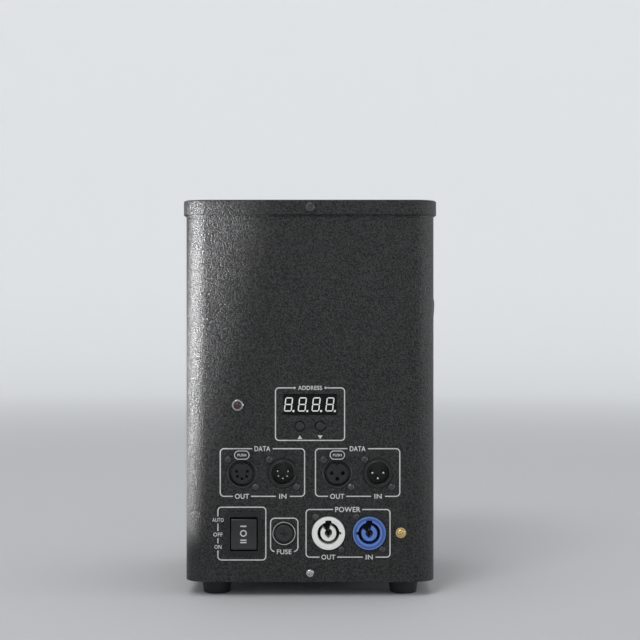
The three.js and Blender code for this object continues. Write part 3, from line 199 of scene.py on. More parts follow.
# Grain: fine noise for the height of the surface, and broad slow noise for its unevenness
grain, given, out = effect("grain", ["Vector", "Fine", "Broad"], ["Height", "Cloud", "Speckle"])
fine = add(grain, "TexNoise", {"Detail": 1.5, "Roughness": 0.5},
           {"Vector": given["Vector"], "Scale": given["Fine"]})
broad = add(grain, "TexNoise", {"Detail": 4, "Roughness": 0.55},
            {"Vector": given["Vector"], "Scale": given["Broad"]})
cloud = add(grain, "MapRange", {"From Min": 0.32, "From Max": 0.68}, {"Value": broad.outputs["Fac"]})
specks = add(grain, "MapRange", {"From Min": 0.36, "From Max": 0.64}, {"Value": fine.outputs["Fac"]})
wire(grain, out, {}, {"Height": fine.outputs["Fac"], "Cloud": cloud.outputs["Result"],
                      "Speckle": specks.outputs["Result"]})

# Rubbed spots: short streaks from stretched noise, kept only where a second, slower noise is high
rubbed, given, out = effect("rubbed", ["Vector", "Amount"], ["Mask"])
stretched = add(rubbed, "Mapping", {"Rotation": (0.5, 0.2, 0.7), "Scale": (900, 60, 300)},
                {"Vector": given["Vector"]})
streak = add(rubbed, "TexNoise", {"Scale": 1, "Detail": 2}, {"Vector": stretched.outputs["Vector"]})
patch = add(rubbed, "TexNoise", {"Scale": 38, "Detail": 3}, {"Vector": given["Vector"]})
streaks = add(rubbed, "MapRange", {"From Min": 0.62, "From Max": 0.72}, {"Value": streak.outputs["Fac"]})
spots = add(rubbed, "MapRange", {"From Min": 0.56, "From Max": 0.7}, {"Value": patch.outputs["Fac"]})
both = add(rubbed, "Math", {}, {0: streaks.outputs["Result"], 1: spots.outputs["Result"]},
           operation="MULTIPLY")
much = add(rubbed, "Math", {}, {0: both.outputs[0], 1: given["Amount"]}, operation="MULTIPLY")
wire(rubbed, out, {}, {"Mask": much.outputs[0]})


def shade(colour):
    """Red, green, blue and full cover, from a colour or from one number for a grey."""
    return (*np.broadcast_to(colour, 3).tolist(), 1)


def finish(name, colour, second, rough, per_metre, depth, wear=0, worn=0.3, way=(1, 1, 1), cloud=30,
           specks=0.3, **shader_values):
    """A finish: colour runs between two shades with the cloud and the share of specks, roughness
    between its two values, the grain raises the surface by its depth in millimetres, and rubbed
    spots show the worn colour."""
    material, tree, shader = new_material(name)
    own = add(tree, "TexCoord").outputs["Object"]
    laid = add(tree, "Mapping", {"Scale": way}, {"Vector": own})
    surface = add(tree, "Group", {"Fine": per_metre, "Broad": cloud}, {"Vector": laid.outputs["Vector"]},
                  node_tree=grain)
    blend = add(tree, "Mix", {0: specks}, {2: surface.outputs["Cloud"], 3: surface.outputs["Speckle"]})
    shades = add(tree, "Mix", {6: shade(colour), 7: shade(second)}, {0: blend.outputs[0]}, data_type="RGBA")
    if wear:
        marks = add(tree, "Group", {"Amount": wear}, {"Vector": own}, node_tree=rubbed)
        shades = add(tree, "Mix", {7: shade(worn)}, {0: marks.outputs["Mask"], 6: shades.outputs[2]},
                     data_type="RGBA")
    sheen = add(tree, "MapRange", {"To Min": rough[0], "To Max": rough[1]},
                {"Value": surface.outputs["Cloud"]})
    raised = add(tree, "Bump", {"Strength": 1, "Distance": depth * MM}, {"Height": surface.outputs["Height"]})
    plain = {socket.replace("_", " "): value for socket, value in shader_values.items()}
    wire(tree, shader, plain, {"Base Color": shades.outputs[2], "Roughness": sheen.outputs["Result"],
                               "Normal": raised.outputs["Normal"]})
    return material


powder = finish("charcoal_powder_coat", 0.0, (0.039, 0.0392, 0.040), (0.36, 0.45), 1050, 0.8, wear=0.5,
                worn=0.10, specks=0.95, Specular_IOR_Level=0.32)

# Body shell: one steel sheet 1.2 mm thick, cut flat with all its openings and bent round to a
# square box 184 mm wide with 16 mm corners. The back stays open for the cover. From here on, shapes
# are in millimetres and x is measured from the panel's centre line.
HALF, CORNER, SHEET = -PANEL_Y, 16, 1.2
SHELL_LOW, SHELL_HIGH, BACK_OPENING = 11, 290.2, 140
DOOR_HALF, DOOR_LOW, DOOR_HIGH = 66.5, 28.5, 239.5


def piece(name, shape, material, *nodes, body="root", slot=None, sharp=35, edge=0):
    """An object from a shape, its points and faces. Creases over the sharp angle stay sharp, and
    with an edge width they are rounded. It rides on its body and stands for the named nodes."""
    points, faces = shape
    made = made_of(name, (np.reshape(points, (-1, 3)) + (CENTRE_X, 0, 0)) * MM, faces, material)
    made.data.set_sharp_from_angle(angle=math.radians(sharp))
    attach(made, body)
    if nodes:
        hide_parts(*nodes)
    if edge:
        bevel = made.modifiers.new("moulded_edges", "BEVEL")
        bevel.width, bevel.segments, bevel.limit_method = edge * MM, 2, "ANGLE"
        bevel.angle_limit = math.radians(40)
        bevel.use_clamp_overlap, bevel.harden_normals = True, False
    return made


def ring(radius, x=0, z=0, count=72):
    """A closed round row of points: (x + r cos t, z + r sin t)."""
    t = full_turn(count)
    return np.column_stack([x + radius * np.cos(t), z + radius * np.sin(t)])


def frame_row(wide, high, radius, steps=6, x=0, z=0):
    """A closed row round a rectangle whose corners are quarter rounds of the radius, anticlockwise."""
    t = np.linspace(0, math.pi / 2, steps + 1)
    rows = []
    for turn, (side, end) in enumerate([(1, 1), (-1, 1), (-1, -1), (1, -1)]):
        a = t + turn * math.pi / 2
        rows.append(np.column_stack([x + side * (wide / 2 - radius) + radius * np.cos(a),
                                     z + end * (high / 2 - radius) + radius * np.sin(a)]))
    return np.concatenate(rows)


def inside(points, row):
    """True for each point that a closed row goes round: a ray from it crosses the row an odd number
    of times."""
    x, y = points[:, :1], points[:, 1:]
    (x0, y0), (x1, y1) = row.T, np.roll(row, -1, 0).T
    rise = np.where(y1 == y0, 1.0, y1 - y0)
    crossed = ((y0 > y) != (y1 > y)) & (x < x0 + (x1 - x0) * (y - y0) / rise)
    return crossed.sum(1) % 2 == 1


def cut_flat(outline, holes, folds):
    """Flat triangles inside an outline and outside its holes, with an edge along every fold line. The
    cut is worked out in metres, for which its tolerance is meant."""
    rows = [outline, *holes]
    starts = np.cumsum([0] + [len(row) for row in rows])
    edges = [(a + i, a + (i + 1) % len(row)) for a, row in zip(starts, rows) for i in range(len(row))]
    edges += [(starts[-1] + 2 * i, starts[-1] + 2 * i + 1) for i in range(len(folds))]
    points = np.concatenate([*rows, *[[(s, low), (s, high)] for s, low, high in folds]]) * MM
    edges = [tuple(map(int, edge)) for edge in edges]
    made = delaunay_2d_cdt([Vector(point) for point in points.tolist()], edges, [], 0, 1e-7)
    flat, tris = np.array([point[:] for point in made[0]]) / MM, np.array(made[2])
    middle = flat[tris].mean(1)
    kept = inside(middle, outline)
    for hole in holes:
        kept &= ~inside(middle, hole)
    tris = tris[kept]
    a, b, c = flat[tris[:, 0]], flat[tris[:, 1]], flat[tris[:, 2]]
    from_behind = (b[:, 0] - a[:, 0]) * (c[:, 1] - a[:, 1]) < (b[:, 1] - a[:, 1]) * (c[:, 0] - a[:, 0])
    tris[from_behind] = tris[from_behind][:, ::-1]
    return flat, tris


def thickened(outline, place, thick, holes=(), folds=()):
    """Both skins of a cut sheet and its edges: the outer skin lies at depth nought, the inner one at
    the thickness, and a quad joins them along every edge that only one triangle has."""
    flat, tris = cut_flat(outline, holes, folds)
    count = len(flat)
    edges = np.concatenate([tris[:, [0, 1]], tris[:, [1, 2]], tris[:, [2, 0]]])
    low, high = edges.min(1), edges.max(1)
    _, first, times = np.unique(low * count + high, return_index=True, return_counts=True)
    rim = edges[first[times == 1]]
    quads = np.column_stack([rim[:, 1], rim[:, 0], rim[:, 0] + count, rim[:, 1] + count])
    return np.concatenate([place(flat, 0), place(flat, thick)]), [*tris, *(tris[:, ::-1] + count), *quads]


def half_outline(half, radius, steps=14, lead=0.4):
    """From the middle of the front round the right side to the middle of the back: straight, quarter
    round, straight, quarter round, straight, with a point a little before and after each round."""
    straight = half - radius
    t = np.linspace(-math.pi / 2, 0, steps + 1)
    first = np.column_stack([straight + radius * np.cos(t), -straight + radius * np.sin(t)])
    second = np.column_stack([first[::-1, 0], -first[::-1, 1]])
    return np.array([(0, -half), (straight - lead, -half), *first, (half, lead - straight),
                     (half, straight - lead), *second, (straight - lead, half), (0, half)])


outer_line = half_outline(HALF, CORNER)
along = np.concatenate([[0], np.cumsum(np.linalg.norm(np.diff(outer_line, axis=0), axis=1))])


def bend(flat, depth):
    """Place on the bent box of a point of the flat sheet: its length s from the middle of the front is
    carried along the outline, drawn in by the depth, and its height stays."""
    line = half_outline(HALF - depth, CORNER - depth)
    s = np.abs(flat[:, 0])
    x = np.interp(s, along, line[:, 0]) * np.sign(flat[:, 0])
    return np.column_stack([x, np.interp(s, along, line[:, 1]), flat[:, 1]])


def corners_of(half, low, high):
    """A closed row of the four corners of an upright rectangle."""
    return np.array([(-half, low), (half, low), (half, high), (-half, high)])


# Places of the fittings on the panel, and the openings cut for them
DATA_X, DATA_Z, TAB_OVER = (-50, -20, 20, 50), 91, 13.6
TAB_Z = DATA_Z + TAB_OVER
MAINS_X, MAINS_Z = (13.5, 43.5), 47
ROCKER, FUSE, LAMP, EARTH = (-48.5, 46.5), (-19.1, 47), (-53.2, 141), (66.8, 47.3)
WINDOW, BUTTON_X, BUTTON_Z = (0, 141.5), 7.5, 125.5
openings = [ring(11.2, x, DATA_Z) for x in DATA_X] + [ring(12.4, x, MAINS_Z) for x in MAINS_X]
openings += [frame_row(5.6, 2.6, 0.3, 2, x, TAB_Z) for x in (DATA_X[0], DATA_X[2])]
openings += [frame_row(21.8, 28.8, 0.6, 6, *ROCKER), ring(6.5, *FUSE), ring(3.9, *LAMP)]
openings += [frame_row(39.4, 15.6, 0.6, 6, *WINDOW), ring(2.2, *EARTH)]
openings += [ring(3.9, side * BUTTON_X, BUTTON_Z) for side in (-1, 1)]
side_middle = along[np.argmax(outer_line[:, 0] > HALF - 1e-6)] + HALF - CORNER
rear = along[-1] - BACK_OPENING / 2
doorway = corners_of(DOOR_HALF, DOOR_LOW, DOOR_HIGH) + (side_middle, 0)
blank = corners_of(rear, SHELL_LOW, SHELL_HIGH)
folds = [(side * s, SHELL_LOW, SHELL_HIGH) for s in along[1:-1] if s < rear for side in (-1, 1)]
shell = thickened(blank, bend, SHEET, [*openings, doorway], folds)
piece("shell_sheet", shell, powder, "body_shell", slot="powder_coat")

# Hinge ears: two small steel tabs welded inside the doorway's sill and head, near the box's front
# corner. Each has a hole for its pin and the same powder coat as the shell.
HINGE = (87, -60)


def lying(top):
    """Placing of a flat sheet that lies level: (a, b) goes to x and y, and depth runs down from its top."""
    return lambda flat, depth: np.column_stack([flat, np.full(len(flat), top - depth)])


ear_row = frame_row(8.8, 12, 0.2, 6, HINGE[0] - 0.6, HINGE[1])
for number, top in enumerate((DOOR_LOW, DOOR_HIGH + SHEET)):
    ear = thickened(ear_row, lying(top), SHEET, [ring(2.3, *HINGE, 24)])
    piece(f"hinge_ear_{number}", ear, powder, slot="powder_coat")

# Rear cover: a flat steel plate screwed inside the back opening, with two columns of eight
# ventilation slots punched through it.
COVER_Y, COVER_WIDE, SLOT_WIDE, SLOT_HIGH, SLOT_STEP, LOWEST_SLOT = 90.5, 152, 34, 3.5, 8, 40


def on_back(flat, depth):
    """Place on the rear cover: x runs the other way round seen from behind, y is drawn in by the depth."""
    return np.column_stack([-flat[:, 0], np.full(len(flat), COVER_Y - depth), flat[:, 1]])


slots = [frame_row(SLOT_WIDE, SLOT_HIGH, 1.7, 6, side * SLOT_WIDE, LOWEST_SLOT + SLOT_STEP * row)
         for side in (-1, 1) for row in range(8)]
cover = frame_row(COVER_WIDE, SHELL_HIGH - SHELL_LOW, 0.5, 2, z=(SHELL_LOW + SHELL_HIGH) / 2)
piece("slotted_cover", thickened(cover, on_back, SHEET, slots), powder, "rear_cover", slot="powder_coat")

# Lid: a pan of 1.5 mm steel with an 11 mm skirt that fits over the shell, its top edge rounded by
# the press, and a round port of 70 mm in its middle.
LID_TOP, LID_HALF, LID_CORNER, LID_SHEET = 292, 94, 18, 1.5
SKIRT, PRESS, PORT = 11, 1.6, 35


def round_square(inset=0, steps=10, sides=22):
    """Points round the lid's outline, drawn in by an inset: a square with quarter-round corners, each
    side split evenly, anticlockwise."""
    half, radius = LID_HALF - inset, LID_CORNER - inset
    t = np.linspace(0, math.pi / 2, steps + 1)
    side = np.linspace(-1, 1, sides + 1)[1:-1] * (half - radius)
    round_corner = half - radius + radius * np.column_stack([np.cos(t), np.sin(t)])
    one = np.concatenate([np.column_stack([np.full(len(side), half), side]), round_corner])
    turns = [one @ np.array([[np.cos(a), np.sin(a)], [-np.sin(a), np.cos(a)]]) for a in full_turn(4)]
    return np.concatenate(turns)


def port_row(radius):
    """Points round the port, one on the bearing of each point of the outline."""
    bearing = np.arctan2(*round_square()[:, ::-1].T)
    return np.column_stack([radius * np.cos(bearing), radius * np.sin(bearing)])


bow = [(PRESS * (1 - math.cos(a)), PRESS * (1 - math.sin(a))) for a in np.linspace(0, math.pi / 2, 7)]
insets = [(LID_SHEET, SKIRT), (0.3, SKIRT), (0, SKIRT - 0.3), *bow, (4, 0)]
port = [(PORT + 1, 0), (PORT + 0.4, 0.1), (PORT, 0.5), (PORT, LID_SHEET)]
rows = [(round_square(inset), down) for inset, down in insets]
rows += [(port_row(radius), down) for radius, down in port] + [(round_square(LID_SHEET), LID_SHEET)]
lid = np.stack([np.column_stack([row, np.full(len(row), LID_TOP - down)]) for row, down in rows])
piece("lid_pan", skin(lid, close_u=True, close_v=True), powder, "lid", slot="powder_coat")

# Feet: four moulded rubber buttons under the base's corners, wider at the top. Each is held by a
# screw that goes up through its recessed middle.
FOOT_OFF = 69.7
FEET = [(side * FOOT_OFF, end * FOOT_OFF) for side in (-1, 1) for end in (-1, 1)]
foot_nodes = ("foot_front_left", "foot_rear_left", "foot_front_right", "foot_rear_right")
rubber = finish("moulded_rubber", (0.010, 0.010, 0.011), (0.018, 0.018, 0.019), (0.55, 0.75), 2600, 0.06,
                wear=0.7, worn=0.05)
foot = [(0, 7.2), (3.3, 7.0), (3.5, 0.5), (3.9, 0), (9.0, 0), (9.6, 0.25), (9.85, 0.8), (11.3, 9.8),
        (11.5, 10.7), (0, 10.7)]
for (x, y), node in zip(FEET, foot_nodes):
    piece(node + "_moulding", turned(foot, (x, y, 0)), rubber, node, slot="rubber")

# Small screws: blacked steel pan heads with a cross recess. The same head in bright zinc holds the
# feet and, at the front, the base.
LID_SCREW_Z, BASE_SCREW_Z = 286.4, 17.6
blacked = finish("blacked_steel", (0.06, 0.06, 0.063), (0.16, 0.16, 0.165), (0.28, 0.4), 2500, 0.02, wear=1,
                 worn=0.5, cloud=700, Metallic=0.9)
zinc = finish("bright_zinc", (0.52, 0.53, 0.55), 0.62, (0.18, 0.34), 2200, 0.02, cloud=400, Metallic=1)


def combined(*parts):
    """Several shapes as one."""
    points, faces, start = [], [], 0
    for more, lot in parts:
        points.append(np.reshape(more, (-1, 3)))
        faces += [[start + i for i in face] for face in lot]
        start += len(points[-1])
    return np.concatenate(points), faces


def screw_head(place, radius, high, facing, turn=0):
    """A pan head with a cross recess. Height over the seat at polar (r, t) is h sqrt(1 - (r / R)^4),
    less the recess where the point lies within either arm of the cross; a straight side closes it."""
    r = np.append(np.linspace(0, 1, 18) ** 0.9, 1) * radius
    rr, tt = np.meshgrid(r, full_turn(96), indexing="ij")
    a, b = rr * np.cos(tt + turn), rr * np.sin(tt + turn)
    u, v = np.abs(rr * np.cos(tt)), np.abs(rr * np.sin(tt))
    arm, reach, slope = 0.13 * radius, 0.62 * radius, 0.08 * radius
    into = [np.clip((arm - across) / slope + 1, 0, 1) * np.clip((reach - out) / (0.1 * radius), 0, 1)
            for out, across in ((u, v), (v, u))]
    bow = 0.35 + 0.65 * np.sqrt(np.clip(1 - (rr / radius) ** 4, 0, 1))
    h = high * (bow - 0.75 * np.maximum(*into))
    h[-1] = 0
    turns = {"front": (a, -h, b), "back": (-a, h, b), "left": (-h, -a, b), "right": (h, a, b),
             "down": (a, -b, -h)}
    return skin(np.stack(turns[facing], -1) + place, close_v=True, flip=True)


# The lid and base screws stand in the middle of each side; four more hold the cover at the back.
for node, facing, y, z, radius, metal in (("lid_screw_front", "front", -LID_HALF, LID_SCREW_Z, 3.5, blacked),
                                          ("lid_screw_rear", "back", LID_HALF, LID_SCREW_Z, 3.5, blacked),
                                          ("base_screw_front", "front", -HALF, BASE_SCREW_Z, 2.95, zinc),
                                          ("base_screw_rear", "back", COVER_Y, BASE_SCREW_Z, 2.95, blacked)):
    piece(node + "_head", screw_head((0, y, z), radius, 1.9, facing, 0.4), metal, node, slot="steel")
heads = [screw_head((sign * x, 0, z), 3.2, 1.9, facing, 0.2 * z)
         for sign, facing in ((-1, "left"), (1, "right"))
         for x, z in ((LID_HALF, LID_SCREW_Z), (HALF, BASE_SCREW_Z))]
heads += [screw_head((x, COVER_Y, z), 2.9, 1.7, "back", 0.1 * z) for x in (-70, 70) for z in (24, 276)]
piece("side_and_cover_screws", combined(*heads), blacked, slot="black_steel")
foot_heads = [screw_head((x, y, 6.8), 2.6, 1.6, "down", 0.3) for x, y in FEET]
piece("foot_screws", combined(*foot_heads), zinc, slot="steel")

# Panel mouldings: black glass-filled nylon, moulded with a fine satin texture and slightly
# polished where it is handled. Each is placed by how far its front stands proud of the panel's face.
MOULDED = {"per_metre": 3200, "depth": 0.03, "wear": 0.5, "cloud": 160}
satin = finish("satin_black_moulding", (0.008, 0.008, 0.0085), (0.014, 0.014, 0.0145), (0.26, 0.38),
               worn=0.07, Specular_IOR_Level=0.4, **MOULDED)
# The female sockets' rings are a lighter grey than the other mouldings. This is painted highlight, so that
# the lip reads as the bright edge line light draws round it.
rim = finish("shell_rim_painted_highlight", (0.035, 0.035, 0.036), (0.05, 0.05, 0.051), (0.26, 0.38), worn=0.1,
             Specular_IOR_Level=0.6, **MOULDED)
gloss = finish("gloss_black_moulding", (0.008, 0.008, 0.009), (0.012, 0.012, 0.013), (0.10, 0.2), 1200, 0.008,
               wear=0.4, worn=0.05, cloud=120)
contact = finish("nickel_contact", (0.72, 0.71, 0.68), (0.6, 0.58, 0.54), (0.16, 0.3), 3000, 0.008, cloud=500,
                 Metallic=1)
# Near-black finish: the own colour of the black moulded parts, and painted shade on the contact tubes in the
# data bores and on the disc in the fuse knob's slot.
black_and_painted_shade = finish("black_moulding_and_painted_shade", 0.006, 0.01, (0.5, 0.7), 2500, 0.02)


def on_panel(x, z, proud):
    """Placing of a flat part on the panel: (a, b) goes to x + a, z + b, and depth runs inwards from a
    front that stands proud of the panel's face."""
    return lambda flat, depth: np.column_stack([flat[:, 0] + x, np.full(len(flat), PANEL_Y - proud + depth),
                                                flat[:, 1] + z])


def plate(outline, x, z, proud, thick, holes=()):
    """A flat moulding with holes, at a place on the panel."""
    return thickened(outline, on_panel(x, z, proud), thick, holes)


def spun(profile, x, z, count=64):
    """A turned moulding on the panel, from its profile of (radius, height over the panel's face)."""
    return turned([(radius, PANEL_Y - proud) for radius, proud in profile], (x, 0, z), "y", count)


# Round data sockets: each has a black ring let into the panel and a flange behind it. A female
# one holds an insert with five or three bores and a push latch over it, a male one a well of pins.
FIVE, THREE = np.radians([-90, -36, -144, 18, 162]), np.radians([-90, 0, 180])
SOCKET_ROUND, BEHIND, PIN_CIRCLE, WELL_FLOOR = 10.9, -24, 4.15, -14.1
PAD_STRAIGHT, PAD_ROUND, UNDER_PAD = 2.35, 3.7, 0.1
female_ring = [(0, -8), (9.3, -8), (9.4, -1.4), (9.9, 0), (10.1, 0.6), (10.3, 0.8), (10.6, 0.8), (10.8, 0.6),
               (SOCKET_ROUND, 0.2), (SOCKET_ROUND, BEHIND), (0, BEHIND)]
male_ring = [(0, WELL_FLOOR), (8.15, WELL_FLOOR), (8.15, 0.3), (8.3, 0.75), (8.6, 0.9), (9, 0.6), (9.6, 0.55),
             (10.2, 0.7), (10.6, 0.7), (SOCKET_ROUND, 0.3), (SOCKET_ROUND, BEHIND), (0, BEHIND)]
contact_tube = [(0.5, -4.4), (0.95, -4.4), (0.95, -7.6), (0.5, -7.6), (0.5, -4.4)]
for way, x, angles, bore, pin in (("out_5", DATA_X[0], FIVE, 1.0, 0), ("in_5", DATA_X[1], FIVE, 0, 1.0),
                                  ("out_3", DATA_X[2], THREE, 1.35, 0), ("in_3", DATA_X[3], THREE, 0, 1.25)):
    name = "data_" + way
    places = [(PIN_CIRCLE * np.cos(a), PIN_CIRCLE * np.sin(a)) for a in angles]
    stem_slot = [frame_row(5.8, 2.8, 0.3, 2, 0, TAB_OVER)] if bore else []
    flange = plate(frame_row(26, 31, 2), x, DATA_Z, -1.5, 2, [ring(SOCKET_ROUND), *stem_slot])
    body = spun(female_ring if bore else male_ring, x, DATA_Z, 96)
    if bore:
        from_pad = np.abs(body[0] - (x, 0, TAB_Z))
        under = np.hypot(np.maximum(from_pad[..., 0] - PAD_STRAIGHT, 0), from_pad[..., 2]) < PAD_ROUND
        body[0][under, 1] = np.maximum(body[0][under, 1], PANEL_Y - UNDER_PAD)
        # The ring's lighter grey is painted highlight along its lip.
        piece(name + "_ring", combined(body, flange), rim, name + "_shell", slot="black_plastic")
        holes = [ring(bore, a, b, 24) for a, b in places] + [frame_row(2.2, 2.4, 0.3, 3, 0, 7.6)]
        insert = plate(ring(7.9, count=96), x, DATA_Z, 0.3, 8, holes)
        piece(name + "_nose", insert, satin, name + "_insert", slot="black_plastic", edge=0.35)
        tubes = [spun(contact_tube, x + a, DATA_Z + b, 16) for a, b in places]
        # The contact tubes take the near-black finish: painted shade of the deep bores they sit in.
        piece(name + "_contacts", combined(*tubes), black_and_painted_shade, slot="steel")
    else:
        ridge = plate(frame_row(1.6, 1.2, 0.3, 3, 0, 7.75), x, DATA_Z, 0, 14)
        piece(name + "_well", combined(body, flange, ridge), satin, name + "_socket", slot="black_plastic")
        tip = [(0, -1.5), (0.35 * pin, -1.55), (0.75 * pin, -1.9), (pin, -2.6), (pin, -14.2), (0, -14.2)]
        piece(name + "_pins", combined(*[spun(tip, x + a, DATA_Z + b, 24) for a, b in places]), contact,
              slot="steel")

# Push latches: an oval thumb piece of black nylon over each female socket, on a flat stem that goes
# through the panel. Pressing it lets the plug go.
THUMBS = (("data_out_5", DATA_X[0], "five_pin_tab"), ("data_out_3", DATA_X[2], "three_pin_tab"))
THUMB_PROUD = 3.3
for name, x, body in THUMBS:
    pad = plate(frame_row(11.3, 6.7, 3.3, 12), x, TAB_Z, THUMB_PROUD, 1.5)
    stem = plate(frame_row(5, 2, 0.3, 2), x, TAB_Z, 1.9, 12)
    piece(name + "_thumb_piece", combined(pad, stem), satin, name + "_tab", body=body, slot="black_plastic",
          edge=0.45)

# Locking mains sockets: a round nylon body through the panel with a keyed well, and a core in it
# with an open throat. The outlet is grey-white, the inlet blue and keyed the other way round.
NYLON = {"per_metre": 2600, "depth": 0.015}
white_nylon = finish("grey_white_nylon", (0.90, 0.90, 0.87), (0.83, 0.83, 0.80), (0.25, 0.4), wear=0.3,
                     worn=(0.5, 0.5, 0.48), cloud=140, **NYLON)
blue_nylon = finish("blue_nylon", (0.12, 0.24, 0.64), (0.095, 0.20, 0.56), (0.25, 0.4), wear=0.3,
                    worn=(0.25, 0.33, 0.6), cloud=140, **NYLON)
# The inlet's band is a darker, matter blue: painted shade standing in for a shallow groove in its face.
blue_groove_shade = finish("blue_nylon_painted_groove_shade", (0.055, 0.115, 0.36), (0.045, 0.10, 0.32), (0.35, 0.5), cloud=140,
                   **NYLON)
THROAT_NOTCH, NOTCH_SPREAD, BLADES = 0.75, 22, ((-1.3, -1.3), (1.3, -1.3), (0, 1.4))


def sector(start, end, inner, outer, count):
    """A part of a ring between two angles in degrees: out along its outer arc and back along its inner
    one, whose radius r + n exp(-((a + 90) / s)^2) runs out to a notch at the bottom."""
    a = np.linspace(start, end, count)
    turn = (a + 90 + 180) % 360 - 180
    inner_line = inner + THROAT_NOTCH * np.exp(-(turn / NOTCH_SPREAD) ** 2)
    way = np.column_stack([np.cos(np.radians(a)), np.sin(np.radians(a))])
    return np.concatenate([outer * way, (inner_line[:, None] * way)[::-1]])


# A thin flat band over the face. On the inlet it carries the painted groove shade, on the outlet the plain
# nylon.
groove = [(9.5, 2.18), (9.6, 2.24), (11.2, 2.24), (11.3, 2.18), (9.5, 2.18)]
cup = [(0, -11.5), (12, -11.5), (12, BEHIND), (0, BEHIND)]
for way, x, side, slot, nylon, band, first, last in (
        ("out", MAINS_X[0], 1, "white_plastic", white_nylon, white_nylon, -226, 30),
        ("in", MAINS_X[1], -1, "blue_plastic", blue_nylon, blue_groove_shade, -214, 72)):
    name = "mains_" + way
    well = [ring(8.1, count=96), frame_row(4.6, 4, 0.4, 3, 0, 8.3), frame_row(3.2, 2, 0.3, 3, side * 8)]
    piece(name + "_body", plate(ring(12.1, count=128), x, MAINS_Z, 2.2, 13, well), nylon, slot=slot, edge=0.5)
    piece(name + "_band", spun(groove, x, MAINS_Z, 128), band, slot=slot)
    piece(name + "_cup", spun(cup, x, MAINS_Z), black_and_painted_shade, name + "_socket", slot="black_plastic")
    core = plate(sector(first, last, 2.75, 5.8, 96), x, MAINS_Z, 1.6, 13)
    piece(name + "_core_face", core, nylon, name + "_core", slot=slot, edge=0.3)
    if way == "out":
        piece("mains_out_step", plate(sector(30, 74, 3.1, 5.6, 24), x, MAINS_Z, -0.1, 11), nylon, slot=slot)
    blades = [plate(frame_row(0.7, 2, 0.1, 2, *off), x, MAINS_Z, -7, 4.6) for off in BLADES]
    piece(name + "_blades", combined(*blades), blacked, slot="steel")

# Rocker switch: a black bezel clipped into the panel and a rocker cap with a shallow dip, which
# tilts on trunnions to either side of its middle position.
way_through, pocket_row = frame_row(20.4, 25, 0.5, 3), frame_row(21.4, 28.4, 0.8, 3)
bezel = combined(plate(frame_row(26, 31.5, 1.5), *ROCKER, 1.1, 0.8, [way_through]),
                 plate(frame_row(22.8, 28.2, 1), *ROCKER, 2, 0.9, [way_through]))
pocket = combined(plate(pocket_row, *ROCKER, 0.3, 6.8, [way_through]), plate(pocket_row, *ROCKER, -6.5, 13))
piece("rocker_bezel", bezel, satin, "rocker_housing", slot="black_plastic", edge=0.25)
piece("rocker_pocket", pocket, black_and_painted_shade)
CAP_HIGH, CAP_WIDE, CAP_DIP, CAP_DEEP = 22.3, 18.8, 0.9, 8.5
CAP_FRONT = PANEL_Y - 4.5


def cap_face(b):
    """y of the rocker's face at height b off its pivot: a shallow trough, deepest in the middle."""
    return CAP_FRONT + CAP_DIP * (1 - np.abs(b / (CAP_HIGH / 2)) ** 1.6)


sides = np.array([(0, CAP_DEEP - 0.1), (0, 0.5), (0.15, 0.15), (0.5, 0)])
across = np.concatenate([sides[:, 0] - CAP_WIDE / 2, CAP_WIDE / 2 - sides[::-1, 0]])
sunk = np.concatenate([sides[:, 1], sides[::-1, 1]])
bb, aa = np.meshgrid(np.linspace(-1, 1, 41) * CAP_HIGH / 2, across, indexing="ij")
edge = 0.4 * np.clip(1 - (CAP_HIGH / 2 - np.abs(bb)) / 0.6, 0, 1) ** 2
yy = np.minimum(cap_face(bb) + sunk + edge, CAP_FRONT + CAP_DEEP)
face = np.stack([aa + ROCKER[0], yy, bb + ROCKER[1]], -1)
below = face.copy()
below[..., 1] = CAP_FRONT + CAP_DEEP
low_end, high_end = np.stack([below[0], face[0]]), np.stack([face[-1], below[-1]])
cap = combined(skin(face), skin(low_end), skin(high_end), skin(below, flip=True))
rocker_paint = finish("rocker_moulding", (0.013, 0.013, 0.0135), (0.019, 0.019, 0.0195), (0.3, 0.42),
                      worn=0.08, **MOULDED)
piece("rocker_button", cap, rocker_paint, "rocker_cap", body="rocker", slot="black_plastic")

# Fuse holder: a glossy ring with a nut behind the panel, and a cap that unscrews a quarter turn
# with a screwdriver and draws the glass fuse out.
holder = [(0, 0.9), (6.75, 0.9), (6.8, 1.7), (7.05, 2.1), (7.5, 2.2), (8, 2.05), (8.35, 1.5), (8.35, 0.3),
          (6.2, 0.3), (6.2, -32), (0, -32)]
piece("fuse_ring", spun(holder, *FUSE, 96), gloss, "fuse_holder", slot="gloss_black")
# A bright nickel band on the glossy ring's lip: painted highlight, standing in for the reflection along its
# rounded edge.
highlight_nickel = finish("nickel_painted_highlight", (0.85, 0.84, 0.82), (0.75, 0.74, 0.72), (0.34, 0.44), 2500, 0.01, cloud=400,
                Metallic=0.8)
lip_highlight = [(7.95, 2), (8.05, 2.25), (8.25, 2.3), (8.4, 2.1), (8.4, 1.8), (7.95, 1.8), (7.95, 2)]
piece("fuse_lip_painted_highlight", spun(lip_highlight, *FUSE, 96), highlight_nickel)
cross = [frame_row(5.4, 1.1, 0.2, 2), frame_row(1.1, 5.4, 0.2, 2)]
knob = [(0, 2.3), (4.4, 2.3), (4.5, 3), (4.9, 3.3), (5.7, 3.3), (6.3, 3), (6.5, 2.5), (6.5, 1.5), (0, 1.5)]
knob = combined(plate(ring(4.6), *FUSE, 3.1, 0.9, cross), spun(knob, *FUSE, 96))
piece("fuse_knob", knob, rocker_paint, "fuse_cap", body="fuse_head", slot="black_plastic")
# A near-black disc under the cross slot: painted shade in the slot.
piece("fuse_slot_painted_shade", plate(ring(4.2), *FUSE, 2.4, 0.2), black_and_painted_shade, body="fuse_head")

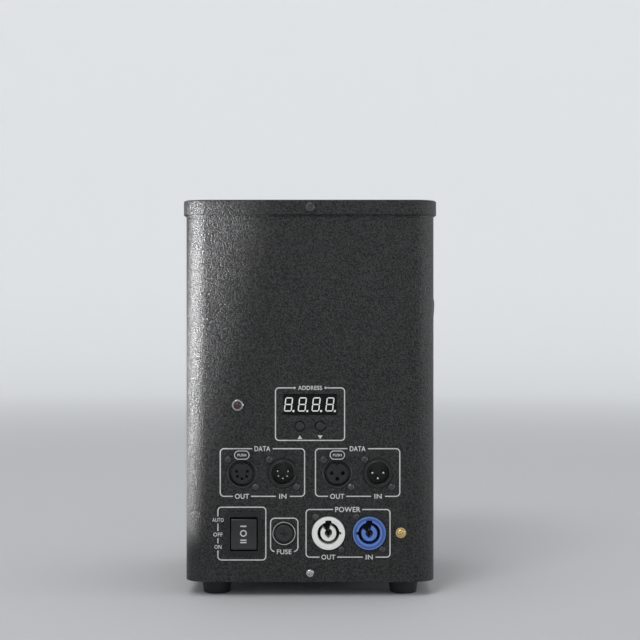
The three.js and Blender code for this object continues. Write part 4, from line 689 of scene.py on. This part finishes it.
# Red lamp: a clear red plastic lens pressed into a chromed collar, which is let into the panel from
# the front and held by its round body behind.
chrome = finish("chrome_plate", (0.40, 0.40, 0.41), (0.33, 0.33, 0.34), (0.22, 0.30), 1500, 0.004, cloud=200,
                Metallic=1)
lens = finish("red_lens", (0.055, 0.004, 0.005), (0.025, 0.002, 0.002), (0.05, 0.1), 900, 0.004, cloud=700,
              Coat_Weight=0.6, Coat_Roughness=0.04)
LENS_ROUND, LENS_BOW, LENS_PROUD = 2.6, 1.5, 2.6
collar = [(0, 0.6), (2.7, 0.6), (2.75, 1.2), (3, 1.55), (3.6, 1.6), (4.1, 1.35), (4.4, 0.9), (4.4, 0.1),
          (3.6, 0.1), (3.6, -10), (0, -10)]
piece("lamp_collar", spun(collar, *LAMP), chrome, "lamp_bezel", slot="chrome")
bow = [(r, LENS_PROUD - LENS_BOW * (1 - math.sqrt(1 - (r / (LENS_ROUND + 0.02)) ** 2)))
       for r in np.linspace(0, LENS_ROUND, 12)]
piece("lamp_dome", spun([*bow, (LENS_ROUND, 0.5), (0, 0.5)], *LAMP), lens, "lamp_lens", slot="red_lens")

# Push buttons: two round black plastic caps in holes below the display. Each has a wider foot behind
# the panel, which keeps it in, and sits over a switch of the display board.
button = [(0, 1.25), (1.6, 1.2), (2.9, 1.15), (3.15, 1), (3.3, 0.7), (3.3, -6.4), (4.6, -6.4), (4.6, -7.9),
          (0, -7.9)]
for node, body, x in (("button_up", "up_button", -BUTTON_X), ("button_down", "down_button", BUTTON_X)):
    piece(node + "_cap", spun(button, x, BUTTON_Z), rocker_paint, node, body=body, slot="black_plastic")

# Display: a module with a flat smoked window, set into the panel from behind. Its four sloped digits
# glow white, each made of seven bars and a point.
smoked = finish("smoked_window", (0.0015, 0.0015, 0.0018), (0.003, 0.003, 0.0035), (0.08, 0.16), 1200, 0.005,
                wear=0.3, worn=0.03, cloud=120, Specular_IOR_Level=0.16)
digit_white = finish("digit_white", (0.80, 0.80, 0.78), (0.72, 0.72, 0.70), (0.4, 0.5), 2000, 0.005,
                     cloud=300, Emission_Color=(1, 1, 0.97, 1), Emission_Strength=0.12)
window = plate(frame_row(38.8, 15, 0.3, 2), *WINDOW, -0.6, 11.1)
piece("display_window", window, smoked, "display_module", slot="gloss_black", edge=0.2)
DIGIT_HIGH, DIGIT_WIDE, DIGIT_STEP, BAR, BAR_GAP, SLOPE = 10.4, 5.8, 10.15, 0.82, 0.14, 0.12
DIGITS_LEFT, DIGITS_PROUD = 0.6, -0.55


def bar(start, end):
    """A pointed bar between two corners of the digit: a long hexagon, kept a little short of both."""
    start, end = np.array(start, float), np.array(end, float)
    way = (end - start) / np.linalg.norm(end - start)
    side = np.array([-way[1], way[0]]) * BAR / 2
    a, b = start + way * BAR_GAP, end - way * BAR_GAP
    return np.array([a, a + way * BAR / 2 - side, b - way * BAR / 2 - side, b, b - way * BAR / 2 + side,
                     a + way * BAR / 2 + side])


half_w, half_h = (DIGIT_WIDE - BAR) / 2, (DIGIT_HIGH - BAR) / 2
ends = [((-1, 1), (1, 1)), ((-1, 0), (1, 0)), ((-1, -1), (1, -1)), ((-1, 0), (-1, 1)), ((-1, -1), (-1, 0)),
        ((1, 0), (1, 1)), ((1, -1), (1, 0))]
bars = [bar((i * half_w, j * half_h), (k * half_w, m * half_h)) for (i, j), (k, m) in ends]
bars.append(ring(0.8, half_w + 1.75, -half_h - 0.1, 16))
digits = []
for place in range(4):
    centre = (place - 1.5) * DIGIT_STEP - DIGITS_LEFT + WINDOW[0]
    for row in bars:
        sloped = row[:, 0] + SLOPE * row[:, 1] + centre
        front = np.full(len(row), PANEL_Y - DIGITS_PROUD)
        digits.append((np.column_stack([sloped, front, row[:, 1] + WINDOW[1]]), [range(len(row))]))
piece("display_digits", combined(*digits), digit_white, slot="print_ink")

# Earth screw: a bright brass pan head on a star washer that bites into the panel, with its nut on
# the stud behind.
brass = finish("bright_brass", (0.80, 0.62, 0.32), (0.70, 0.52, 0.24), (0.16, 0.3), 2500, 0.01, wear=0.4,
               worn=(0.9, 0.8, 0.55), cloud=500, Metallic=1)
STAR_ROUND, TOOTH_DEEP, TEETH = 3.95, 0.45, 14
t = full_turn(96)
star = STAR_ROUND - TOOTH_DEEP * (np.abs((t * TEETH / (2 * math.pi)) % 1 - 0.5) * 2) ** 2
washer = plate(np.column_stack([star * np.cos(t), star * np.sin(t)]), *EARTH, 0.9, 0.6)
head = screw_head((EARTH[0], PANEL_Y - 0.9, EARTH[1]), 3, 2, "front", 0.5)
stud = [(0, 0.4), (1.9, 0.4), (1.9, -1.6), (4, -1.6), (4, -4.6), (1.9, -4.6), (1.9, -12), (0, -12)]
piece("earth_stud", combined(washer, head, spun(stud, *EARTH, 24)), brass, "earth_screw", slot="brass")

# Socket screws: small blacked steel pan heads at two opposite corners of each data and mains socket,
# which hold it to the panel.
heads = [screw_head((x - sign * off_x, PANEL_Y, z + sign * off_z), radius, high, "front", turn * number)
         for xs, z, off_x, off_z, radius, high, turn in ((DATA_X, DATA_Z, 10, 10, 2.45, 1.5, 0.35),
                                                         (MAINS_X, MAINS_Z, 9.5, 12, 2.3, 1.4, 0.5))
         for number, x in enumerate(xs) for sign in (1, -1)]
piece("panel_screws", combined(*heads), blacked, slot="black_steel")

# Screen print: thin white ink lines with round corners frame each group on the panel, with plain
# function words let into them. The title place above is left bare.
ink = finish("white_screen_print", (0.74, 0.74, 0.73), (0.54, 0.54, 0.535), (0.5, 0.65), 2500, 0.01, wear=0.5,
             cloud=300)
INK, LINE = 0.06, 0.8


def ribbon(path, width, closed=False):
    """A flat band along a path of (x, z) points: each point goes half the width to either side,
    across the mean direction of its neighbours."""
    path = np.asarray(path, float)
    way = np.roll(path, -1, 0) - np.roll(path, 1, 0) if closed else np.gradient(path, axis=0)
    way /= np.maximum(np.linalg.norm(way, axis=1, keepdims=True), 1e-9)
    side = np.column_stack([-way[:, 1], way[:, 0]]) * width / 2
    return skin(np.stack([path - side, path + side]), close_v=closed)


def word(text, x, z, high, wide):
    """A word: Blender's own plain letters filled flat, scaled so that the capitals have the height and
    the word the width, and centred at (x, z)."""
    curve = bpy.data.curves.new("letters", "FONT")
    curve.body, curve.offset, curve.space_character = text, 0.018, 1.08
    made = bpy.data.objects.new("letters", curve)
    scene.collection.objects.link(made)
    bpy.context.view_layer.update()
    mesh = bpy.data.meshes.new_from_object(made.evaluated_get(bpy.context.evaluated_depsgraph_get()))
    points = np.zeros(len(mesh.vertices) * 3)
    mesh.vertices.foreach_get("co", points)
    points = points.reshape(-1, 3)[:, :2]
    faces = [list(face.vertices) for face in mesh.polygons]
    low, high_corner = points.min(0), points.max(0)
    points = (points - (low + high_corner) / 2) * (wide, high) / (high_corner - low) + (x, z)
    bpy.data.objects.remove(made)
    bpy.data.curves.remove(curve)
    bpy.data.meshes.remove(mesh)
    return points, faces


def printed_frame(x0, x1, z0, z1, radius, *words):
    """Bands round a rounded frame, and the words let into its line. Each word is its text, x, z,
    height, width, and half the gap left for it across and upwards."""
    row = frame_row(x1 - x0, z1 - z0, radius, 10, (x0 + x1) / 2, (z0 + z1) / 2)
    row = np.concatenate([row, row[:1]])
    far = np.concatenate([[0], np.cumsum(np.linalg.norm(np.diff(row, axis=0), axis=1))])
    steps = np.linspace(0, far[-1], int(far[-1] / 0.2))
    path = np.column_stack([np.interp(steps, far, row[:, k]) for k in (0, 1)])
    kept = np.ones(len(path), bool)
    for text, x, z, high, wide, gap_wide, gap_high in words:
        kept &= ~((np.abs(path[:, 0] - x) < gap_wide) & (np.abs(path[:, 1] - z) < gap_high))
    first_gap = int(np.argmin(kept))
    path, kept = np.roll(path, -first_gap, 0), np.roll(kept, -first_gap)
    starts = np.flatnonzero(kept & ~np.roll(kept, 1))
    ends = np.flatnonzero(kept & ~np.roll(kept, -1))
    bands = [ribbon(path[a:b + 1], LINE) for a, b in zip(starts, ends)]
    return bands + [word(*settings[:5]) for settings in words]


def inked(parts, front, x=0, z=0):
    """Flat parts laid at a place on a face, all facing out. The face's y is one value, or a function of
    the height over the place."""
    points, faces = combined(*[(np.pad(np.reshape(p, (-1, 2)), ((0, 0), (0, 1))), f) for p, f in parts])
    y = front(points[:, 1]) if callable(front) else np.full(len(points), front)
    made = []
    for face in faces:
        a, b, c = points[face[0]], points[face[1]], points[face[2]]
        turns = (b[0] - a[0]) * (c[1] - a[1]) - (b[1] - a[1]) * (c[0] - a[0])
        made.append(face if turns > 0 else face[::-1])
    return np.column_stack([points[:, 0] + x, y, points[:, 1] + z]), made


# The display's frame has a dot at each end of its word, and an arrowhead over each button
prints = printed_frame(-25.4, 25.4, 115.1, 153.7, 2.6, ("ADDRESS", 0, 153.7, 3.1, 17.6, 11.6, 2))
prints += [(ring(0.85, side * 11.4, 153.7, 24), [range(24)]) for side in (-1, 1)]
prints += [(np.array(corners), [range(3)]) for corners in (((-9.2, 116.1), (-5.7, 116.1), (-7.45, 118.8)),
                                                         ((5.7, 118.8), (7.45, 116.1), (9.2, 118.8)))]
for left, right, out_x, in_x in ((-66, -4, *DATA_X[:2]), (4, 66, *DATA_X[2:])):
    prints += printed_frame(left, right, 74, 109, 2.8, ("DATA", (left + right) / 2, 109, 3.7, 11.6, 7.4, 2),
                            ("OUT", out_x, 74, 3.7, 10.4, 6.6, 2), ("IN", in_x, 74, 3.5, 5.4, 5, 2))
prints += printed_frame(-67.7, -32.5, 27.2, 66, 2.6, ("AUTO", -67.7, 56.6, 2.9, 8.4, 2, 2.5),
                        ("OFF", -67.7, 45.9, 2.9, 6.8, 2, 2.5), ("ON", -67.7, 36.8, 2.9, 5.2, 2, 2.5))
prints += printed_frame(-29, -8.9, 33.4, 57.9, 3.2, ("FUSE", -19, 33.2, 3.6, 10.8, 7, 2.2))
prints += printed_frame(-2.9, 58.8, 29.3, 64.3, 2.6, ("POWER", 27.8, 64.3, 3.9, 18.6, 10.6, 2.5),
                        ("OUT", MAINS_X[0], 29.3, 3.6, 10.2, 6.4, 2.5),
                        ("IN", MAINS_X[1], 29.3, 3.5, 5.2, 4.6, 2.5))
piece("panel_print", inked(prints, PANEL_Y - INK), ink, slot="print_ink")

# The rocker's marks: a bar over a round mark for one end, and two bars for the other
MARK_X, MARK_WIDE = -0.3, 4.5
marks = [(frame_row(MARK_WIDE, high, 0.1, 2, MARK_X, z), [range(12)])
         for high, z in ((1, 6), (0.9, -4.2), (0.9, -5.9))]
marks.append(ribbon(ring(2.05, MARK_X, 0.8, 40), 0.85, True))
piece("rocker_marks", inked(marks, lambda z: cap_face(z) - INK, *ROCKER), ink, body="rocker",
      slot="print_ink")
for name, x, body in THUMBS:
    oval = ribbon(frame_row(10.6, 6, 2.95, 14), 0.55, True)
    label = inked([oval, word("PUSH", 0, 0, 1.9, 6.4)], PANEL_Y - THUMB_PROUD - INK, x, TAB_Z)
    piece(name + "_thumb_print", label, ink, body=body, slot="print_ink")

# Loading door: a flanged steel pan in the right side, hung on two hinge pins at its front edge. Its
# powder coat is the shell's, and so is the coat of the tray that closes the shell below.


def coated(material, *nodes):
    """Gives the solids of the named nodes a finish."""
    for node in nodes:
        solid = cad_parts[node]
        solid.data.materials.clear()
        solid.data.materials.append(material)


coated(powder, "side_door", "base_tray")

# Latch: a moulded lever on a round boss, turned by hand a quarter way round. Its spindle carries the
# cam that catches behind the shell, held by a nut.
LATCH = (0, 45, 205.5)


def lever_grip(low, high, start, wide, foot, far, rows=48, around=32):
    """The latch's grip: cross-sections stacked along z, from the lower end to the upper one. Each is
    a superellipse |a|^p + |b|^p = 1 with p = 3 across its width and its height over the boss. The
    height grows from the thin lower end, and both shrink to a round end over the last part."""
    share = (1 - np.cos(np.linspace(0, math.pi, rows))) / 2
    ends = np.sqrt(np.clip(1 - np.abs(2 * share - 1) ** 8, 0, 1))
    tall = (foot + (far - foot) * (1 - (1 - share) ** 2.4)) * ends
    half = wide / 2 * (0.78 + 0.22 * np.sin(math.pi * share)) * ends
    c, s = np.cos(full_turn(around)), np.sin(full_turn(around))
    a, b = np.sign(c) * np.abs(c) ** (2 / 3), np.sign(s) * np.abs(s) ** (2 / 3)
    z = np.broadcast_to((low + (high - low) * share)[:, None], (rows, around))
    grid = np.stack([start + (b + 1) / 2 * tall[:, None], a * half[:, None], z], -1)
    return skin(grid + LATCH, close_v=True, flip=True)


boss = [(0, 92.3), (7.6, 92.3), (8, 92.7), (8, 93.9), (7.4, 94.6), (0, 94.7)]
spindle = [(0, 83.2), (3, 83.2), (3, 92.5), (0, 92.5)]
nut = [(0, 83.4), (6, 83.4), (6, 86.6), (0, 86.6)]
turnings = [turned(profile, LATCH, "x", count) for profile, count in ((boss, 72), (spindle, 32), (nut, 6))]
latch = combined(lever_grip(-18.4, 17.9, 93.9, 9.8, 4.6, 8.4), *turnings)
piece("latch_lever", latch, satin, "latch_handle", body="latch", slot="powder_coat", sharp=50)

# Steel of the works: zinc-plated parts with a fine drawn grain and dull patches, and stainless sheet
# brushed along its length.
plated = finish("zinc_plated_works", (0.40, 0.41, 0.42), 0.54, (0.26, 0.42), 900, 0.01, wear=0.6,
                way=(1, 1, 0.15), cloud=60, Metallic=1)
brushed = finish("brushed_stainless", (0.46, 0.45, 0.43), (0.57, 0.56, 0.54), (0.24, 0.38), 1800, 0.012,
                 way=(1, 0.04, 1), cloud=45, specks=0.5, Metallic=1)
coated(plated, "hinge_pin_lower", "hinge_pin_upper", "latch_cam", "lever_bracket", "lever_pin")
coated(brushed, "partition", "upper_deck", "can_cradle")

# Fuel can: a plain lacquered tinplate aerosol can with a rolled seam at both ends, a domed top and
# a crimped valve cup with its stem.
tin = finish("lacquered_tinplate", (0.50, 0.52, 0.54), (0.60, 0.61, 0.62), (0.2, 0.32), 1400, 0.01, wear=0.6,
             worn=0.35, way=(1, 1, 0.05), cloud=40, Metallic=0.9)
low_seam = [(0, 35), (18, 33.6), (27, 31.4), (30.2, 30.2), (31.4, 30), (32.3, 30.4), (32.5, 31.2),
            (32.3, 32.4), (31.9, 33.2)]
high_seam = [(31.9, 177.6), (32.3, 178.4), (32.5, 179.6), (32.3, 180.6), (31.4, 181), (30.8, 180.6)]
shoulder = [(16.2 + 14.6 * math.cos(a), 181 + 12 * math.sin(a)) for a in np.linspace(0, math.pi / 2, 12)]
valve = [(15.9, 193.2), (16, 194.8), (15.6, 195.6), (14.8, 196), (13.9, 195.7), (13.4, 194.6), (12.8, 193.4),
         (6.2, 193.4), (5.4, 194.2), (4.6, 195.5), (3.4, 196), (2, 196), (2, 199.7), (1.7, 200), (0, 200)]
piece("fuel_can_body", turned([*low_seam, *high_seam, *shoulder, *valve], count=96), tin, "fuel_can",
      slot="can_paint")

# Nozzle: a turned brass head on the can's stem. The lever holds it round its neck, and its fine tip
# stands under the deck's gas hole.
nozzle = [(2.3, 200.3), (8.6, 200.3), (9, 200.7), (9, 213.4), (8.6, 213.9), (5.5, 213.9), (5.5, 218.1),
          (8.6, 218.1), (9, 218.5), (9, 220.6), (8.6, 221), (3.4, 221), (3, 221.3), (2.6, 223.7), (2.3, 224),
          (0.7, 224), (0.7, 204.3), (2.3, 204.3), (2.3, 200.3)]
piece("nozzle_turning", turned(nozzle, count=64), brass, "nozzle_head", body="nozzle", slot="brass")

# Press lever: a flat steel bar with a ring round the nozzle's neck, an open fork at the plunger and
# a rolled knuckle on its pivot pin.
PULL_Y, PIVOT_Y, LEVER_LOW, LEVER_HIGH = -60, 60, 214.5, 217.5
LEVER_HALF, RING_ROUND, FORK_HALF = 8, 13, 3.1
arc = np.linspace(math.asin(LEVER_HALF / RING_ROUND), math.pi - math.asin(LEVER_HALF / RING_ROUND), 41)
fork = np.linspace(0, math.pi, 17)[1:-1]
side_line = np.array([(FORK_HALF, PULL_Y), (FORK_HALF, PULL_Y - 6.4), (FORK_HALF + 0.6, PULL_Y - 7),
                      (LEVER_HALF - 0.6, PULL_Y - 7), (LEVER_HALF, PULL_Y - 6.4),
                      *zip(RING_ROUND * np.sin(arc), -RING_ROUND * np.cos(arc)), (LEVER_HALF, PIVOT_Y - 1)])
fork_row = np.column_stack([-FORK_HALF * np.cos(fork), FORK_HALF * np.sin(fork) + PULL_Y])
lever_row = np.concatenate([side_line, (side_line * (-1, 1))[::-1], fork_row])
lever_bar = thickened(lever_row, lying(LEVER_HIGH), LEVER_HIGH - LEVER_LOW, [ring(7, count=64)])
knuckle = [(2.2, -7.5), (4.5, -7.5), (4.5, 7.5), (2.2, 7.5), (2.2, -7.5)]
lever = combined(lever_bar, turned(knuckle, (0, PIVOT_Y, (LEVER_LOW + LEVER_HIGH) / 2), "x"))
piece("lever_bar", lever, plated, "press_lever", body="lever", slot="steel", edge=0.25)

# Solenoid: a zinc-plated steel yoke bent round a coil of enamelled copper wire, fixed on the
# partition by its back. The plunger goes in through the hole in its top.
YOKE_WIDE, YOKE_SHEET, YOKE_BACK, YOKE_TOP = 30, 2.5, -41.4, 199.5
ends = ((160.5, []), (YOKE_TOP, [ring(5.3, 0, PULL_Y, 48)]))
end_row = frame_row(YOKE_WIDE, 34.1, 0.8, 6, 0, -55.95)
yoke = [thickened(end_row, lying(top), YOKE_SHEET, holes) for top, holes in ends]
yoke.append(plate(frame_row(YOKE_WIDE, 41.5, 0.8), 0, 178.75, PANEL_Y - YOKE_BACK, YOKE_SHEET))
piece("solenoid_yoke", combined(*yoke), plated, "solenoid", slot="steel", edge=0.3)
copper = finish("enamelled_copper", (0.42, 0.11, 0.035), (0.58, 0.20, 0.07), (0.2, 0.35), 1500, 0.01,
                cloud=300, Metallic=1)


def wound_face(low, high, radius, turns, gauge, per_turn=8):
    """Profile of a coil of wire: radius less its wire at each seam and full between them,
    r(s) = R - w + w |sin(pi n s)|, closed flat at both ends."""
    share = np.linspace(0, 1, turns * per_turn + 1)
    bulge = radius - gauge + gauge * np.abs(np.sin(math.pi * turns * share))
    return [(0, low), *zip(bulge, low + (high - low) * share), (0, high)]


piece("solenoid_coil", turned(wound_face(160.5, 197, 12, 24, 0.45), (0, PULL_Y, 0), count=72), copper,
      sharp=60)

# Plunger: the solenoid's turned steel core. Its collar lies under the lever's fork and its head over
# it, so that the lever goes down and up with it.
core = [(0, 172), (4.6, 172), (5, 172.4), (5, 211.8), (8.2, 211.8), (8.5, 212.1), (8.5, 213.6), (8.2, 213.9),
        (2.5, 213.9), (2.5, 218.1), (5.7, 218.1), (6, 218.4), (6, 220.5), (5.5, 221), (0, 221)]
piece("plunger_core_turning", turned(core, (0, PULL_Y, 0), count=64), plated, "plunger", body="plunger_core",
      slot="steel", sharp=40)

# Return spring: steel wire wound round the plunger between the yoke and the collar, with a close turn
# at each end. It shortens as the plunger goes in.
SPRING_LOW, SPRING_HIGH, SPRING_WIRE = 199.8, 211.5, 0.42


def swept(path, radius, around=12):
    """A tube along a path of points: round sections square to the path, each turned so that it does
    not twist against the last one, closed flat over both ends."""
    path = np.asarray(path, float)
    way = np.gradient(path, axis=0)
    way /= np.linalg.norm(way, axis=1, keepdims=True)
    side = np.cross(way[0], (0.31, 0.52, 0.79))
    sides = []
    for direction in way:
        side = side - direction * (side @ direction)
        side = side / np.linalg.norm(side)
        sides.append(side)
    sides = np.array(sides)[:, None]
    c, s = np.cos(full_turn(around))[:, None], np.sin(full_turn(around))[:, None]
    rings = path[:, None] + radius * (sides * c + np.cross(way[:, None], sides) * s)
    caps = [np.repeat(path[end:end + 1, None], around, 1) for end in (0, len(path) - 1)]
    return skin(np.concatenate([caps[0], rings, caps[1]]), close_v=True)


def helix(low, high, radius, turns, close, steps=40):
    """Points of a spring: x = r cos 2 pi n s, y = r sin 2 pi n s, and the height rises by `close` over
    the first and the last turn and evenly between them."""
    n = np.linspace(0, turns, turns * steps + 1)
    z = np.interp(n, [0, 1, turns - 1, turns], [low, low + close, high - close, high])
    return np.column_stack([radius * np.cos(2 * math.pi * n), PULL_Y + radius * np.sin(2 * math.pi * n), z])


coils = helix(SPRING_LOW + SPRING_WIRE, SPRING_HIGH - SPRING_WIRE, 7.3, 7, 0.9)
spring = piece("return_spring_wire", swept(coils, SPRING_WIRE, 10), plated, "return_spring", slot="steel",
               sharp=60)
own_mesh(spring)

# Flame cup: a spun stainless cup under the lid's port, with a throat over the gas hole, two holes for
# the electrodes and a rim that hangs on the lid. The heat has tinted it straw and blue.
scorched = finish("heat_tinted_steel", (0.20, 0.17, 0.15), (0.42, 0.34, 0.24), (0.26, 0.42), 1600, 0.012,
                  wear=0.5, worn=(0.10, 0.11, 0.16), way=(1, 1, 0.1), cloud=60, specks=0.35, Metallic=1)
SPARK_X = 20
cup_wall = [(33.2, 250.6), (33.2, 291.5), (33.5, 291.7), (34.2, 291.7), (34.4, 291.5), (34.4, 290.2),
            (43, 290.2), (43.4, 289.9), (43.4, 289.3), (43, 289), (34.4, 289), (34.4, 250.8), (33.8, 250),
            (33.2, 250), (33.2, 250.6)]
cup_holes = [ring(12), ring(4.1, -SPARK_X, 0, 32), ring(4.1, SPARK_X, 0, 32)]
cup_floor = thickened(ring(33.6, count=144), lying(251.2), 1.2, cup_holes)
cup_shape = combined(turned(cup_wall, count=144), cup_floor)
piece("flame_cup_spinning", cup_shape, scorched, "flame_cup", slot="stainless")

# Spark electrodes: white ceramic insulators through the deck and the cup, each with a steel wire
# that bends over to leave the spark gap above the throat. Red silicone leads run to them.
ceramic = finish("glazed_ceramic", (0.74, 0.72, 0.67), (0.66, 0.63, 0.57), (0.14, 0.24), 1400, 0.006,
                 wear=0.8, worn=(0.35, 0.30, 0.24), cloud=200)
lead_red = finish("red_silicone", (0.30, 0.028, 0.02), (0.42, 0.05, 0.035), (0.35, 0.5), 2200, 0.02, wear=0.4,
                  worn=(0.2, 0.05, 0.04), cloud=120)
insulator = [(0, 239), (3.2, 239), (3.5, 239.3), (3.5, 244.8), (6.6, 244.8), (7, 245.2), (7, 247.2),
             (6.5, 247.8), (3.9, 247.8), (3.5, 248.3), (3.5, 256.2), (3.1, 256.9), (2.7, 257), (0, 257)]
TERMINALS = (("left", -SPARK_X, -48, -50.3), ("right", SPARK_X, -72, -62.3))


def cornered(points, bend, steps=10):
    """A path through straight points with each corner turned by a quadratic arc that starts and ends
    one bend length from it: (1 - s)^2 a + 2 s (1 - s) corner + s^2 b."""
    points = np.asarray(points, float)
    s = np.linspace(0, 1, steps + 1)[:, None]
    path = [points[:1]]
    for before, corner, after in zip(points[:-2], points[1:-1], points[2:]):
        a = corner + (before - corner) / np.linalg.norm(before - corner) * bend
        b = corner + (after - corner) / np.linalg.norm(after - corner) * bend
        path.append((1 - s) ** 2 * a + 2 * s * (1 - s) * corner + s ** 2 * b)
    return np.concatenate([*path, points[-1:]])


for side, x, from_x, from_y in TERMINALS:
    piece("insulator_" + side, turned(insulator, (x, 0, 0)), ceramic, "electrode_" + side, slot="ceramic")
    tip = cornered([(x, 0, 256.5), (x, 0, 263), (math.copysign(3.5, x), 0, 263)], 3)
    piece("spark_wire_" + side, swept(tip, 0.8), plated, slot="steel", sharp=60)
    route = [(from_x, from_y, 215.1), (from_x, from_y, 227), (x, from_y, 227), (x, 0, 227), (x, 0, 238.7)]
    lead = swept(cornered(route, 11, 16), 2.5, 20)
    piece("lead_cable_" + side, lead, lead_red, "lead_" + side, slot="lead_rubber", sharp=60)

# Ignition module: a black plastic box filled with resin, fixed on the partition. On top stand two
# ribbed high-tension terminals for the leads.
module = plate(frame_row(46, 40, 2), -61, 188, -23.1, 30)
terminal = [(0, 207.5), (4, 207.5), (4, 209), (3.3, 209.3), (3.3, 210), (4, 210.3), (4, 211.6), (3.3, 211.9),
            (3.3, 212.6), (4, 212.9), (4, 214.3), (3.5, 214.8), (0, 214.8)]
terminals = [turned(terminal, (x, y, 0), count=40) for _, _, x, y in TERMINALS]
piece("ignition_box", combined(module, *terminals), satin, "ignition_module", slot="black_plastic", edge=0.5)

# Power supply: a closed case of zinc-plated steel, fixed on the partition to the right of the
# solenoid. Its edges are rounded by the press.
supply = plate(frame_row(42, 62, 1.2), 57.3, 191, -22.1, 31)
piece("supply_case", supply, plated, "power_supply", slot="steel", edge=0.8)

# Circuit boards: green glass-fibre boards on brass posts. The control board carries three relays, and
# the display board behind the window carries the two button switches.
board_green = finish("green_board", (0.010, 0.065, 0.028), (0.02, 0.11, 0.045), (0.2, 0.35), 700, 0.02,
                     wear=0.4, worn=(0.55, 0.45, 0.25), cloud=300)
relay_blue = finish("relay_case", (0.03, 0.07, 0.22), (0.045, 0.10, 0.28), (0.25, 0.4), 1800, 0.02, wear=0.4,
                    worn=(0.2, 0.25, 0.4), cloud=150)
BOARD_X, BOARD_Z, RELAY_STEP = -20, 105, 20


def rods(radius, edge, spans):
    """Round rods into the panel with edges taken off, each from one height over its face to another, at
    a place: (x, z, start, end)."""
    made = []
    for x, z, start, end in spans:
        inner = radius - edge
        profile = [(0, start), (inner, start), (radius, start - edge), (radius, end + edge), (inner, end),
                   (0, end)]
        made.append(spun(profile, x, z, 32))
    return combined(*made)


board = plate(frame_row(90, 60, 1.2), BOARD_X, BOARD_Z, -46.7, 1.6)
piece("control_board_sheet", board, board_green, "control_board", slot="circuit_board")
relays = [plate(frame_row(15.5, 19, 0.8), BOARD_X + step * RELAY_STEP, BOARD_Z, -40.7, 6)
          for step in (-1, 0, 1)]
piece("control_relays", combined(*relays), relay_blue, edge=0.5)
corners = [(BOARD_X + a * 41, BOARD_Z + b * 26, -48.3, -53.1) for a in (-1, 1) for b in (-1, 1)]
piece("control_posts", rods(2.5, 0.2, corners), brass)
board = plate(frame_row(64, 45, 1), 0, 135.5, -12, 1.6)
piece("display_board_sheet", board, board_green, "display_board", slot="circuit_board")
switches = [plate(frame_row(6.2, 6.2, 0.4), side * BUTTON_X, BUTTON_Z, -9, 3) for side in (-1, 1)]
piece("button_switches", combined(*switches), black_and_painted_shade, edge=0.2)
piece("display_posts", rods(2.5, 0.2, [(a * 28, z, -1.5, -12) for a in (-1, 1) for z in (117, 154)]), brass)

# Fuse: a glass tube 20 mm long with a nickelled cap at each end and a fine wire through it. The
# fuse holder's knob grips one end and draws it out of the panel.
glass = finish("clear_glass", (0.9, 0.93, 0.92), (0.95, 0.96, 0.96), (0.02, 0.05), 800, 0.002, cloud=300,
               Transmission_Weight=1, IOR=1.47)
caps = rods(2.5, 0.3, [(*FUSE, -2.3, -7.5), (*FUSE, -17.1, -22.3)])
thread = swept([(FUSE[0], PANEL_Y - proud, FUSE[1]) for proud in (-7.4, -17.2)], 0.12, 8)
piece("fuse_ends", combined(caps, thread), contact, "glass_fuse", body="fuse_carrier", slot="steel")
piece("fuse_tube", spun([(0, -7.3), (2.25, -7.3), (2.25, -17.3), (0, -17.3)], *FUSE, 32), glass,
      body="fuse_carrier", slot="glass")
